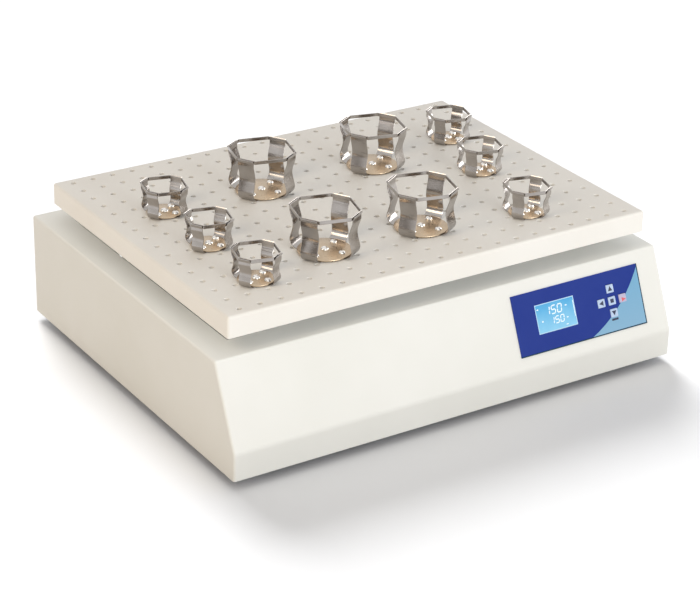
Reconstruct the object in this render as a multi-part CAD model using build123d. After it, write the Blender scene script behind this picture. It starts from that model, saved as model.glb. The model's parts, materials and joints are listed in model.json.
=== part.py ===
from build123d import *
import os
from collections import namedtuple
from math import atan2, cos, degrees, hypot, radians, sin

# Orbital shaker: a perforated flask tray that circles on five cranks over a low sheet-metal housing.
# X runs along the front from left to right, Y from front to back and Z up, in millimetres.
# The pieces are drawn about the drive axis with the floor at Z 0. The finished model is then moved
# so that its origin lies in the middle of its footprint.

# Flask tray and its grid of holes
HOLE_PITCH = 25.0
HOLE_COLUMNS = 21
HOLE_ROWS = 16
HOLE_DIAMETER = 6.5
TRAY_LENGTH = 540.0
TRAY_DEPTH = 400.0
TRAY_SKIRT = 25.0
TRAY_SHEET = 2.0
TRAY_BEND = 3.0
TRAY_GAP = 20.0

# Orbit
ORBIT_RADIUS = 10.0
SUPPORT_REACH_X = 190.0
SUPPORT_REACH_Y = 115.0

# Housing
FOOT_HEIGHT = 10.0
HOUSING_LENGTH = 574.0
DECK_DEPTH = 424.0
HOUSING_HEIGHT = 121.0
FRONT_FOOT = 31.0
FRONT_LEAN = 40.0
HOUSING_SHEET = 1.5
EDGE_BEND = 3.0
KNEE_BEND = 12.0
DECK_RIM = 36.0
DECK_CORNER = 2.0
DECK_LIP = 10.0
BOTTOM_FLANGE = 16.0
BRACE_WIDTH = 6.0
BRACE_HEIGHT = 12.0
BRACE_REACH = 97.5
BASE_SHEET = 3.0
BASE_CLEARANCE = 0.5
FOOT_RADIUS = 16.0
FOOT_TAPER = 2.0
FOOT_INSET = 42.0

# Vents in the rear wall and in the base
VENT_WIDTH = 4.0
VENT_LENGTH = 40.0
VENT_PITCH = 10.0
REAR_VENTS = 9
REAR_VENT_X = -135.0
FLOOR_VENTS = 7

# Control panel on the leaning front
PANEL_INSET = 119.2
PANEL_LENGTH = 176.0
PANEL_HEIGHT = 69.0
PANEL_SHEET = 1.2
PANEL_LEDGE = 8.0
SCREEN_X = -32.7
SCREEN_Y = 1.9
SCREEN_LENGTH = 53.4
SCREEN_HEIGHT = 32.8
KEYS_X = 45.2
KEYS_Y = 0.9
KEY_LENGTH = 10.0
KEY_HEIGHT = 9.3
KEY_PITCH_X = 15.0
KEY_PITCH_Y = 13.8
KEY_PROUD = 0.4
KEY_FLANGE = 1.2
KEY_FLANGE_SHEET = 1.0
KEY_TRAVEL = 0.8
KEY_CLEARANCE = 0.2
KEY_STANDS_OFF = 0.1
BOARD_SHEET = 1.6
BOARD_STANDOFF = 8.5
BOARD_EDGE = 14.0
STANDOFF_WIDTH = 6.0
STANDOFF_INSET = 5.0
SCREEN_BORDER = 3.0
SWITCH_SQUARE = 6.0
PLUNGER_RADIUS = 2.0

# Drive: FIT is the running clearance of a spindle in its bearing, SEAT that of a fixed ring in its bore
FIT = 0.05
SEAT = 0.02
OPEN_PIVOT = 0.3
ROTOR_GAP = 2.0
HUB_GAP = 1.0
PIN_ROOM = 1.0
BRACKET_DROP = 1.0
SPINDLE_RADIUS = 7.5
BEARING_RADIUS = 17.5
BEARING_WIDTH = 11.0
BARREL_RADIUS = 29.0
BARREL_FLANGE_RADIUS = 55.0
BARREL_FLANGE = 8.0
BARREL_HEIGHT = 62.0
BARREL_BORE = 12.0
BARREL_RIBS = 4
RIB_SHEET = 6.0
RIB_ROOT = 1.0
RIB_TOE = 4.0
RIB_HEIGHT = 36.0
SUPPORT_PIN_RADIUS = 5.0
SUPPORT_BEARING_RADIUS = 13.0
SUPPORT_BEARING_WIDTH = 8.0
PILLAR_RADIUS = 21.0
PILLAR_FLANGE_RADIUS = 35.0
PILLAR_FLANGE = 6.0
PILLAR_HEIGHT = 85.0
PILLAR_BORE = 8.0
CRANK_RADIUS = 22.0
CRANK_SHEET = 10.0
SUPPORT_CRANK_RADIUS = 19.0
SUPPORT_CRANK_SHEET = 8.0
PULLEY_WIDTH = 16.0
PULLEY_RADIUS = 70.0
PULLEY_RIM = 6.0
PULLEY_WEB = 5.0
PULLEY_HUB = 16.0
PULLEY_FLANGE = 2.0
FLANGE_PROUD = 3.0
MOTOR_PULLEY_RADIUS = 18.0
MOTOR_DISTANCE = 135.0
MOTOR_RADIUS = 40.0
MOTOR_HEIGHT = 50.0
MOTOR_CHAMFER = 3.0
MOTOR_SHAFT_RADIUS = 5.0
MOTOR_SHAFT_DEPTH = 20.0
BRACKET_WINDOW = 10.0
BRACKET_SHEET = 3.0
BRACKET_WIDTH = 104.0
BRACKET_LENGTH = 96.0
BRACKET_FOOT = 18.0
BELT_SHEET = 2.4
BELT_GAP = 0.3
WEIGHT_RADIUS = 74.0
WEIGHT_HALF_ANGLE = 65.0

# Carriage between the cranks and the tray
CARRIAGE_SHEET = 6.0
CARRIAGE_MARGIN = 6.0
CARRIAGE_CORNER = 20.0
BOSS_DROP = 26.0
BOSS_RADIUS = 24.0
SUPPORT_BOSS_RADIUS = 19.0
BOSS_LIP = 1.0
POST_HEIGHT = 30.0
POST_RADIUS = 8.0
POST_INSET_X = 65.0
POST_OUTSET_Y = 10.0
POST_SCREW_RADIUS = 3.0
POST_SCREW_HEAD = 6.0
POST_SCREW_HEAD_HEIGHT = 4.0
WINDOW_REACH_X = 88.0
WINDOW_LENGTH = 86.0
WINDOW_DEPTH = 150.0

# Power supply, boards and rear fittings
SUPPLY_LENGTH = 96.0
SUPPLY_DEPTH = 138.0
SUPPLY_HEIGHT = 42.0
SUPPLY_INSET = 127.0
DRIVER_LENGTH = 120.0
DRIVER_DEPTH = 56.0
DRIVER_INSET = 44.0
DRIVER_STANDOFF = 8.0
FITTING_Z = 66.0
INLET_INSET = 87.0
INLET_LENGTH = 30.0
INLET_HEIGHT = 22.5
INLET_BODY_DEPTH = 24.0
INLET_FLANGE_LENGTH = 50.0
FITTING_FLANGE = 2.5
FLANGE_MARGIN = 2.5
INLET_CORNER = 7.0
SOCKET_CORNER = 4.0
SOCKET_LENGTH = 24.5
SOCKET_HEIGHT = 17.0
SOCKET_DEPTH = 16.0
SWITCH_STEP = 60.0
SWITCH_LENGTH = 22.0
SWITCH_HEIGHT = 30.0
SWITCH_BODY_DEPTH = 22.0
SWITCH_WALL = 2.0
ROCKER_CLEARANCE = 0.8
ROCKER_TILT = 9.0
ROCKER_PIVOT_DEPTH = 3.0
FUSE_STEP = 40.0
FUSE_RADIUS = 7.0
FUSE_CAP_HEIGHT = 9.0
FUSE_CAP_MARGIN = 2.0
FUSE_SLOT = 1.6
FUSE_BODY_DEPTH = 26.0
ROCKER_SIDE_GAP = 0.3
ROCKER_WELL = 12.0
ROCKER_END = 5.0
ROCKER_DIP = 3.6
ROCKER_SKIRT = 3.0
BLADE_SHEET = 2.0
BLADE_WIDTH = 4.0
BLADE_LENGTH = 13.0
BLADE_SPACING = 7.0
BLADE_OFFSET = 2.0
SUPPLY_SLOTS = 9
SUPPLY_SLOT_DEPTH = 3.0
SINK_LENGTH = 60.0
SINK_DEPTH = 48.0
SINK_HEIGHT = 24.0
SINK_BASE = 4.0
SINK_SLOTS = 6
SINK_PITCH = 9.0

# Flask clamps: where each stands is counted in holes from the front-left corner hole
Clamp = namedtuple(
    "Clamp", "name disc_radius ring_radius height arm_width rivet_radius foot_reach waist_reach bend")
LARGE = Clamp("large_clamp", 30.0, 39.0, 50.0, 20.0, 21.0, 41.0, 33.0, 6.0)
SMALL = Clamp("small_clamp", 20.0, 26.5, 33.0, 14.0, 14.0, 28.5, 22.5, 4.0)
LARGE_HOLES = [(7, 10), (13, 10), (6, 3), (11, 3)]
SMALL_HOLES = [(2, 10), (2, 6), (2, 2), (18, 11), (17, 7), (16, 2)]
CLAMP_TURN = -14.0
CLAMP_SHEET = 1.0
DISC_SHEET = 1.5
RING_HEIGHT = 4.0
SHORT_SIDE_ANGLE = 36.0
WAIST = 0.54
STRAP_ANGLES = (45, 135, 225, 315)
RIVET_HEAD = 3.8
RIVET_HEIGHT = 2.0
RIVET_TAPER = 30
CLAMP_SCREW_HEAD = 4.5
CLAMP_SCREW_RADIUS = 2.8
NUT_RADIUS = 5.5
NUT_HEIGHT = 4.0

# Small fasteners are drawn with six sides, which keeps their faces few
FASTENER_SIDES = 6
SCREW_HEAD = 4.5
SCREW_HEAD_HEIGHT = 3.0
SCREW_RADIUS = 2.5
HOLE_ROOM = 0.3
FLANGE_SCREW_INSET = 9.0
FLANGE_SCREW_MARGIN = 60.0

# Levels and outlines that follow from the sizes above
BASE_TOP = FOOT_HEIGHT + BASE_SHEET
DECK_TOP = FOOT_HEIGHT + HOUSING_HEIGHT
KNEE_Z = FOOT_HEIGHT + FRONT_FOOT
TRAY_TOP = DECK_TOP + TRAY_GAP + TRAY_SKIRT
TRAY_UNDER = TRAY_TOP - TRAY_SHEET
PLATE_TOP = TRAY_UNDER - POST_HEIGHT
PLATE_UNDER = PLATE_TOP - CARRIAGE_SHEET
BARREL_TOP = BASE_TOP + BARREL_HEIGHT
PULLEY_Z = BARREL_TOP + ROTOR_GAP
CRANK_Z = PULLEY_Z + PULLEY_WIDTH + HUB_GAP
CRANK_TOP = CRANK_Z + CRANK_SHEET
PILLAR_TOP = BASE_TOP + PILLAR_HEIGHT
SUPPORT_CRANK_Z = PILLAR_TOP + ROTOR_GAP
SUPPORT_CRANK_TOP = SUPPORT_CRANK_Z + SUPPORT_CRANK_SHEET
BOSS_Z = PLATE_UNDER - BOSS_DROP
MAIN_BORE_TOP = BOSS_Z + BOSS_LIP + 2 * BEARING_WIDTH
SUPPORT_BORE_TOP = PLATE_UNDER - BOSS_LIP
BRACKET_TOP = BARREL_TOP - BRACKET_DROP
MOTOR_TOP = BRACKET_TOP - BRACKET_SHEET
HALF_LENGTH = HOUSING_LENGTH / 2
REAR_Y = DECK_DEPTH / 2
FRONT_Y = -DECK_DEPTH / 2 - FRONT_LEAN
PANEL_X = HALF_LENGTH - PANEL_INSET
SUPPLY_X = HALF_LENGTH - SUPPLY_INSET
DRIVER_Y = REAR_Y - DRIVER_INSET
INLET_X = HALF_LENGTH - INLET_INSET
SWITCH_X = INLET_X - SWITCH_STEP
FUSE_X = SWITCH_X - FUSE_STEP
POST_REACH_X = SUPPORT_REACH_X - POST_INSET_X
POST_REACH_Y = SUPPORT_REACH_Y + POST_OUTSET_Y
OPENING_LENGTH = HOUSING_LENGTH - 2 * DECK_RIM
OPENING_DEPTH = DECK_DEPTH - 2 * DECK_RIM
CRANK_PIN = (0.0, -ORBIT_RADIUS)
SUPPORTS = [(sx * SUPPORT_REACH_X, sy * SUPPORT_REACH_Y) for sy in (-1, 1) for sx in (-1, 1)]
POSTS = [(n * POST_REACH_X, sy * POST_REACH_Y) for sy in (-1, 1) for n in (-1, 0, 1)]


def at_pin(x=0.0, y=0.0, z=0.0):
    """A place on the carriage, which stands one crank radius in front of the drive axis."""
    return Pos(x + CRANK_PIN[0], y + CRANK_PIN[1], z)


def rod(radius, height):
    """An upright cylinder that stands on its own origin."""
    return Cylinder(radius, height, align=(Align.CENTER, Align.CENTER, Align.MIN))


def block(length, depth, height):
    """An upright box that stands on its own origin."""
    return Box(length, depth, height, align=(Align.CENTER, Align.CENTER, Align.MIN))


def ring(outer, inner, height):
    return rod(outer, height) - rod(inner, height)


def hexagon(radius, height):
    """A six-sided bar for small repeated holes and fasteners, which keeps their faces few."""
    return extrude(RegularPolygon(radius, FASTENER_SIDES), height)


# Housing: one folded shell, closed at the front, sides, back and deck

def side_profile(inset):
    """The housing's outline seen from the side, inset by a sheet's thickness."""
    lean = atan2(FRONT_LEAN, HOUSING_HEIGHT - FRONT_FOOT)
    top_y = -REAR_Y + inset / cos(lean) - inset * sin(lean) / cos(lean)
    knee_z = KNEE_Z + inset * (1 / cos(lean) - 1) * cos(lean) / sin(lean)
    points = [
        (FRONT_Y + inset, FOOT_HEIGHT),
        (FRONT_Y + inset, knee_z),
        (top_y, DECK_TOP - inset),
        (REAR_Y - inset, DECK_TOP - inset),
        (REAR_Y - inset, FOOT_HEIGHT),
    ]
    return Polygon(*points, align=None)


def housing_block(inset):
    """The filled form of the housing, with the bend at the knee and along every folded edge."""
    length = HOUSING_LENGTH - 2 * inset
    form = extrude(Plane.YZ * side_profile(inset), length / 2, both=True)
    knee = [e for e in form.edges().filter_by(Axis.X)
            if e.center().Y < FRONT_Y + inset + 1 and e.center().Z > FOOT_HEIGHT + 1]
    form = fillet(knee, KNEE_BEND - inset)
    kept = [e for e in form.edges() if e.center().Z > FOOT_HEIGHT + 1 and not on_knee(e, inset)]
    return fillet(kept, EDGE_BEND - inset)


def on_knee(edge, inset):
    """Whether an edge only bounds the rounded knee, across the front."""
    middle = edge.center()
    across = edge.length > HOUSING_LENGTH / 2
    return across and middle.Z < DECK_TOP - inset - 1 and middle.Y < 0


def make_housing():
    inner = housing_block(HOUSING_SHEET)
    shell = housing_block(0) - inner
    lip_outer = Pos(0, 0, DECK_TOP - DECK_LIP) * block(
        OPENING_LENGTH + 2 * HOUSING_SHEET, OPENING_DEPTH + 2 * HOUSING_SHEET, DECK_LIP)
    shell += lip_outer
    opening = block(OPENING_LENGTH, OPENING_DEPTH, HOUSING_HEIGHT)
    shell -= Pos(0, 0, DECK_TOP - DECK_LIP) * fillet(opening.edges().filter_by(Axis.Z), DECK_CORNER)
    flange = Pos(0, (FRONT_Y + REAR_Y) / 2, BASE_TOP) * block(
        HOUSING_LENGTH - HOUSING_SHEET, REAR_Y - FRONT_Y - HOUSING_SHEET, HOUSING_SHEET)
    flange -= Pos(0, (FRONT_Y + REAR_Y) / 2, BASE_TOP) * block(
        HOUSING_LENGTH - 2 * BOTTOM_FLANGE, REAR_Y - FRONT_Y - 2 * BOTTOM_FLANGE, HOUSING_SHEET)
    shell += flange
    for x, y in flange_screws():
        shell -= Pos(x, y, BASE_TOP) * hexagon(SCREW_RADIUS + HOLE_ROOM, HOUSING_SHEET)
    shell -= panel_place() * Box(
        PANEL_LENGTH - 2 * PANEL_LEDGE, PANEL_HEIGHT - 2 * PANEL_LEDGE, 4 * HOUSING_SHEET)
    for n in range(REAR_VENTS):
        x = REAR_VENT_X + (n - (REAR_VENTS - 1) / 2) * VENT_PITCH
        shell -= Pos(x, REAR_Y, FITTING_Z) * Box(VENT_WIDTH, 4 * HOUSING_SHEET, VENT_LENGTH)
    shell -= Pos(INLET_X, REAR_Y, FITTING_Z) * Box(INLET_LENGTH, 4 * HOUSING_SHEET, INLET_HEIGHT)
    shell -= Pos(SWITCH_X, REAR_Y, FITTING_Z) * Box(SWITCH_LENGTH, 4 * HOUSING_SHEET, SWITCH_HEIGHT)
    shell -= Pos(FUSE_X, REAR_Y, FITTING_Z) * Rot(90, 0, 0) * Cylinder(FUSE_RADIUS, 4 * HOUSING_SHEET)
    return shell


def make_deck_braces():
    """Two flat bars on edge that tie the front and back of the deck opening together."""
    span = OPENING_DEPTH
    bar = Pos(0, 0, DECK_TOP - BRACE_HEIGHT) * block(BRACE_WIDTH, span, BRACE_HEIGHT)
    return [Pos(side * BRACE_REACH, 0, 0) * bar for side in (-1, 1)]


def foot_places():
    return [(sx * (HALF_LENGTH - FOOT_INSET), y)
            for y in (FRONT_Y + FOOT_INSET, REAR_Y - FOOT_INSET) for sx in (-1, 1)]


def flange_screws():
    """Where the base is screwed to the flange that the housing turns in at its foot."""
    side_x = HALF_LENGTH - FLANGE_SCREW_INSET
    front, rear = FRONT_Y + FLANGE_SCREW_INSET, REAR_Y - FLANGE_SCREW_INSET
    sides = [(sx * side_x, y) for sx in (-1, 1)
             for y in (FRONT_Y + FLANGE_SCREW_MARGIN, (FRONT_Y + REAR_Y) / 2, REAR_Y - FLANGE_SCREW_MARGIN)]
    return sides + [(sx * HALF_LENGTH / 2, y) for sx in (-1, 1) for y in (front, rear)]


def make_base_plate():
    inset = HOUSING_SHEET + BASE_CLEARANCE
    depth = REAR_Y - FRONT_Y - 2 * inset
    plate = Pos(0, (FRONT_Y + REAR_Y) / 2, FOOT_HEIGHT) * block(
        HOUSING_LENGTH - 2 * inset, depth, BASE_SHEET)
    for n in range(FLOOR_VENTS):
        x = -MOTOR_DISTANCE + (n - (FLOOR_VENTS - 1) / 2) * VENT_PITCH
        plate -= Pos(x, REAR_Y - 2 * VENT_LENGTH, FOOT_HEIGHT) * block(VENT_WIDTH, VENT_LENGTH, BASE_SHEET)
    for x, y in foot_places() + flange_screws():
        plate -= Pos(x, y, FOOT_HEIGHT) * hexagon(SCREW_RADIUS + HOLE_ROOM, BASE_SHEET)
    return plate


def make_feet():
    foot = Cone(FOOT_RADIUS - FOOT_TAPER, FOOT_RADIUS, FOOT_HEIGHT,
                align=(Align.CENTER, Align.CENTER, Align.MIN))
    foot -= hexagon(SCREW_HEAD + HOLE_ROOM, FOOT_HEIGHT / 2)
    foot -= hexagon(SCREW_RADIUS + HOLE_ROOM, FOOT_HEIGHT)
    return [Pos(x, y, 0) * foot for x, y in foot_places()]


# Control panel: a fascia, a screen and five keys in the plane of the leaning front

def panel_place():
    """The middle of the panel on the leaning face: local X along it, Y up it and Z out of it."""
    run = hypot(FRONT_LEAN, HOUSING_HEIGHT - FRONT_FOOT)
    normal = (0, -(HOUSING_HEIGHT - FRONT_FOOT) / run, FRONT_LEAN / run)
    middle = (PANEL_X, -REAR_Y - FRONT_LEAN / 2, (DECK_TOP + KNEE_Z) / 2)
    return Location(Plane(origin=middle, x_dir=(1, 0, 0), z_dir=normal))


KEYS = {
    "key_up": (0, 1),
    "key_left": (-1, 0),
    "key_centre": (0, 0),
    "key_right": (1, 0),
    "key_down": (0, -1),
}


def key_place(name):
    column, row = KEYS[name]
    return Pos(KEYS_X + column * KEY_PITCH_X, KEYS_Y + row * KEY_PITCH_Y, 0)


def make_fascia():
    sheet = block(PANEL_LENGTH, PANEL_HEIGHT, PANEL_SHEET)
    sheet -= Pos(SCREEN_X, SCREEN_Y, 0) * block(SCREEN_LENGTH, SCREEN_HEIGHT, PANEL_SHEET)
    for name in KEYS:
        sheet -= key_place(name) * block(
            KEY_LENGTH + 2 * KEY_CLEARANCE, KEY_HEIGHT + 2 * KEY_CLEARANCE, PANEL_SHEET)
    return panel_place() * sheet


def make_key(name):
    cap = Pos(0, 0, -KEY_STANDS_OFF) * block(KEY_LENGTH, KEY_HEIGHT, PANEL_SHEET + KEY_PROUD + KEY_STANDS_OFF)
    flange = Pos(0, 0, -KEY_STANDS_OFF - KEY_FLANGE_SHEET) * block(
        KEY_LENGTH + 2 * KEY_FLANGE, KEY_HEIGHT + 2 * KEY_FLANGE, KEY_FLANGE_SHEET)
    return panel_place() * key_place(name) * (cap + flange)


def make_screen_window():
    pane = block(SCREEN_LENGTH - 2 * SEAT, SCREEN_HEIGHT - 2 * SEAT, PANEL_SHEET)
    return panel_place() * Pos(SCREEN_X, SCREEN_Y, 0) * pane


def make_screen_module():
    depth = HOUSING_SHEET + BOARD_STANDOFF
    body = Pos(0, 0, -depth) * block(
        SCREEN_LENGTH + 2 * SCREEN_BORDER, SCREEN_HEIGHT + 2 * SCREEN_BORDER, depth)
    return panel_place() * Pos(SCREEN_X, SCREEN_Y, 0) * body


def board_size():
    return PANEL_LENGTH + BOARD_EDGE, PANEL_HEIGHT + STANDOFF_INSET


def make_control_board():
    length, height = board_size()
    board = block(length, height, BOARD_SHEET)
    return panel_place() * Pos(0, 0, -HOUSING_SHEET - BOARD_STANDOFF - BOARD_SHEET) * board


def make_board_standoffs():
    length, height = board_size()
    x, y = length / 2 - STANDOFF_INSET, height / 2 - STANDOFF_INSET
    post = Pos(0, 0, -HOUSING_SHEET - BOARD_STANDOFF) * hexagon(STANDOFF_WIDTH / 2, BOARD_STANDOFF)
    return [panel_place() * Pos(sx * x, sy * y, 0) * post for sx in (-1, 1) for sy in (-1, 1)]


def make_key_switches():
    """A push switch on the board behind each key; its plunger stops just short of the key."""
    board_front = -HOUSING_SHEET - BOARD_STANDOFF
    tip = -KEY_STANDS_OFF - KEY_FLANGE_SHEET - KEY_TRAVEL - KEY_STANDS_OFF
    body_height = (tip - board_front) / 2
    body = Pos(0, 0, board_front) * block(SWITCH_SQUARE, SWITCH_SQUARE, body_height)
    plunger = Pos(0, 0, board_front + body_height) * hexagon(PLUNGER_RADIUS, body_height)
    return [panel_place() * key_place(name) * (body + plunger) for name in KEYS]


# Drive: motor, belt, main crank and four support cranks

def make_spindle_housing():
    """A flanged pillar with four ribs and a bearing seat at each end."""
    body = rod(BARREL_FLANGE_RADIUS, BARREL_FLANGE) + rod(BARREL_RADIUS, BARREL_HEIGHT)
    rib_profile = Polygon(
        (BARREL_RADIUS - RIB_ROOT, BARREL_FLANGE), (BARREL_FLANGE_RADIUS - RIB_TOE, BARREL_FLANGE),
        (BARREL_RADIUS, BARREL_FLANGE + RIB_HEIGHT), (BARREL_RADIUS - RIB_ROOT, BARREL_FLANGE + RIB_HEIGHT),
        align=None)
    rib = extrude(Plane.XZ * rib_profile, RIB_SHEET / 2, both=True)
    for n in range(BARREL_RIBS):
        body += Rot(0, 0, 45 + 360 / BARREL_RIBS * n) * rib
    body -= rod(BARREL_BORE, BARREL_HEIGHT)
    seat = rod(BEARING_RADIUS + SEAT, BEARING_WIDTH)
    body -= seat
    body -= Pos(0, 0, BARREL_HEIGHT - BEARING_WIDTH) * seat
    return Pos(0, 0, BASE_TOP) * body


def make_main_bearings():
    race = ring(BEARING_RADIUS, SPINDLE_RADIUS, BEARING_WIDTH)
    return [Pos(0, 0, z) * race for z in (BASE_TOP, BARREL_TOP - BEARING_WIDTH)]


def make_main_crank():
    """A spindle, a round web and the pin that stands off its axis."""
    radius = SPINDLE_RADIUS - FIT
    shaft = Pos(0, 0, BASE_TOP + PIN_ROOM) * rod(radius, CRANK_Z - BASE_TOP - PIN_ROOM)
    web = Pos(0, 0, CRANK_Z) * rod(CRANK_RADIUS, CRANK_SHEET)
    pin = at_pin(z=CRANK_TOP) * rod(radius, MAIN_BORE_TOP - PIN_ROOM - CRANK_TOP)
    return shaft + web + pin


def make_counterweight():
    """A steel sector round the web, opposite the pin."""
    sector = Pos(0, 0, CRANK_Z) * (rod(WEIGHT_RADIUS, CRANK_SHEET) - rod(CRANK_RADIUS + SEAT, CRANK_SHEET))
    half = 2 * WEIGHT_RADIUS
    reach = half * cos(radians(WEIGHT_HALF_ANGLE))
    spread = half * sin(radians(WEIGHT_HALF_ANGLE))
    wedge = Polygon((0, 0), (spread, reach), (spread, half), (-spread, half), (-spread, reach), align=None)
    return sector & Pos(0, 0, CRANK_Z) * extrude(wedge, CRANK_SHEET)


def pulley(radius, hub_radius, bore):
    """A belt pulley with a flange at each edge of its rim."""
    body = rod(radius, PULLEY_WIDTH)
    for z in (0, PULLEY_WIDTH - PULLEY_FLANGE):
        body += Pos(0, 0, z) * rod(radius + FLANGE_PROUD, PULLEY_FLANGE)
    if radius > 3 * hub_radius:
        recess = (PULLEY_WIDTH - PULLEY_WEB) / 2
        for z in (0, PULLEY_WIDTH - recess):
            body -= Pos(0, 0, z) * ring(radius - PULLEY_RIM, hub_radius, recess)
    return body - rod(bore, PULLEY_WIDTH)


def make_driven_pulley():
    return Pos(0, 0, PULLEY_Z) * pulley(PULLEY_RADIUS, PULLEY_HUB, SPINDLE_RADIUS - FIT + SEAT)


def make_motor_pulley():
    wheel = pulley(MOTOR_PULLEY_RADIUS, MOTOR_PULLEY_RADIUS, MOTOR_SHAFT_RADIUS + SEAT)
    return Pos(-MOTOR_DISTANCE, 0, PULLEY_Z) * wheel


def belt_outline(gap):
    big = Circle(PULLEY_RADIUS + gap)
    small = Pos(-MOTOR_DISTANCE, 0, 0) * Circle(MOTOR_PULLEY_RADIUS + gap)
    return make_hull((big.edges() + small.edges()))


def make_belt():
    width = PULLEY_WIDTH - 2 * PULLEY_FLANGE - 2 * BELT_GAP
    loop = belt_outline(BELT_GAP + BELT_SHEET) - belt_outline(BELT_GAP)
    return Pos(0, 0, PULLEY_Z + PULLEY_FLANGE + BELT_GAP) * extrude(loop, width)


def make_motor_bracket():
    """A folded bridge that the motor hangs from, with a foot along each side."""
    height = BRACKET_TOP - BASE_TOP
    outline = Polygon(
        (-BRACKET_WIDTH / 2 - BRACKET_FOOT, 0), (-BRACKET_WIDTH / 2 - BRACKET_FOOT, BRACKET_SHEET),
        (-BRACKET_WIDTH / 2, BRACKET_SHEET), (-BRACKET_WIDTH / 2, height),
        (BRACKET_WIDTH / 2, height), (BRACKET_WIDTH / 2, BRACKET_SHEET),
        (BRACKET_WIDTH / 2 + BRACKET_FOOT, BRACKET_SHEET), (BRACKET_WIDTH / 2 + BRACKET_FOOT, 0),
        (BRACKET_WIDTH / 2 - BRACKET_SHEET, 0), (BRACKET_WIDTH / 2 - BRACKET_SHEET, height - BRACKET_SHEET),
        (-BRACKET_WIDTH / 2 + BRACKET_SHEET, height - BRACKET_SHEET),
        (-BRACKET_WIDTH / 2 + BRACKET_SHEET, 0), align=None)
    bridge = extrude(Plane.YZ * outline, BRACKET_LENGTH / 2, both=True)
    bridge -= rod(BRACKET_WINDOW, height)
    return Pos(-MOTOR_DISTANCE, 0, BASE_TOP) * bridge


def make_motor_body():
    can = Pos(0, 0, MOTOR_TOP - MOTOR_HEIGHT) * rod(MOTOR_RADIUS, MOTOR_HEIGHT)
    can = chamfer(can.edges(), MOTOR_CHAMFER)
    can -= Pos(0, 0, MOTOR_TOP - MOTOR_SHAFT_DEPTH) * rod(MOTOR_SHAFT_RADIUS + FIT, MOTOR_SHAFT_DEPTH)
    return Pos(-MOTOR_DISTANCE, 0, 0) * can


def make_motor_shaft():
    bottom = MOTOR_TOP - MOTOR_SHAFT_DEPTH + PIN_ROOM
    return Pos(-MOTOR_DISTANCE, 0, bottom) * rod(MOTOR_SHAFT_RADIUS, PULLEY_Z + PULLEY_WIDTH - bottom)


def make_support_pillars():
    body = rod(PILLAR_FLANGE_RADIUS, PILLAR_FLANGE) + rod(PILLAR_RADIUS, PILLAR_HEIGHT)
    body -= rod(PILLAR_BORE, PILLAR_HEIGHT)
    seat = rod(SUPPORT_BEARING_RADIUS + SEAT, SUPPORT_BEARING_WIDTH)
    body -= seat
    body -= Pos(0, 0, PILLAR_HEIGHT - SUPPORT_BEARING_WIDTH) * seat
    return [Pos(x, y, BASE_TOP) * body for x, y in SUPPORTS]


def make_support_bearings():
    race = ring(SUPPORT_BEARING_RADIUS, SUPPORT_PIN_RADIUS, SUPPORT_BEARING_WIDTH)
    levels = (BASE_TOP, PILLAR_TOP - SUPPORT_BEARING_WIDTH)
    return [Pos(x, y, z) * race for x, y in SUPPORTS for z in levels]


def make_support_crank(x, y):
    radius = SUPPORT_PIN_RADIUS - FIT
    shaft = Pos(0, 0, BASE_TOP + PIN_ROOM) * rod(radius, SUPPORT_CRANK_Z - BASE_TOP - PIN_ROOM)
    web = Pos(0, 0, SUPPORT_CRANK_Z) * rod(SUPPORT_CRANK_RADIUS, SUPPORT_CRANK_SHEET)
    pin_height = SUPPORT_BORE_TOP - PIN_ROOM - SUPPORT_CRANK_TOP
    pin = at_pin(z=SUPPORT_CRANK_TOP) * rod(SUPPORT_PIN_RADIUS - OPEN_PIVOT, pin_height)
    return Pos(x, y, 0) * (shaft + web + pin)


# Carriage: the plate that the cranks carry, and the tray on its posts

def make_carriage():
    reach_x = SUPPORT_REACH_X + SUPPORT_BOSS_RADIUS + CARRIAGE_MARGIN
    reach_y = SUPPORT_REACH_Y + SUPPORT_BOSS_RADIUS + CARRIAGE_MARGIN
    plate = Pos(0, 0, PLATE_UNDER) * block(2 * reach_x, 2 * reach_y, CARRIAGE_SHEET)
    plate = fillet(plate.edges().filter_by(Axis.Z), CARRIAGE_CORNER)
    window = block(WINDOW_LENGTH, WINDOW_DEPTH, CARRIAGE_SHEET)
    for side in (-1, 1):
        plate -= Pos(side * WINDOW_REACH_X, 0, PLATE_UNDER) * window
    plate += Pos(0, 0, BOSS_Z) * rod(BOSS_RADIUS, BOSS_DROP)
    plate -= Pos(0, 0, BOSS_Z) * rod(BEARING_RADIUS + SEAT, MAIN_BORE_TOP - BOSS_Z)
    for x, y in SUPPORTS:
        plate += Pos(x, y, BOSS_Z) * rod(SUPPORT_BOSS_RADIUS, BOSS_DROP)
        plate -= Pos(x, y, BOSS_Z) * rod(SUPPORT_BEARING_RADIUS + SEAT, SUPPORT_BORE_TOP - BOSS_Z)
    for x, y in POSTS:
        plate -= Pos(x, y, PLATE_UNDER) * hexagon(POST_SCREW_RADIUS + HOLE_ROOM, CARRIAGE_SHEET)
    return at_pin() * plate


def make_carriage_bearings():
    """The main boss holds two races side by side, each support boss one."""
    main = ring(BEARING_RADIUS, SPINDLE_RADIUS, 2 * BEARING_WIDTH)
    support = ring(SUPPORT_BEARING_RADIUS, SUPPORT_PIN_RADIUS, SUPPORT_BEARING_WIDTH)
    races = [at_pin(z=BOSS_Z + BOSS_LIP) * main]
    return races + [at_pin(x, y, BOSS_Z + BOSS_LIP) * support for x, y in SUPPORTS]


def make_tray_posts():
    return [at_pin(x, y, PLATE_TOP) * rod(POST_RADIUS, POST_HEIGHT) for x, y in POSTS]


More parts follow.
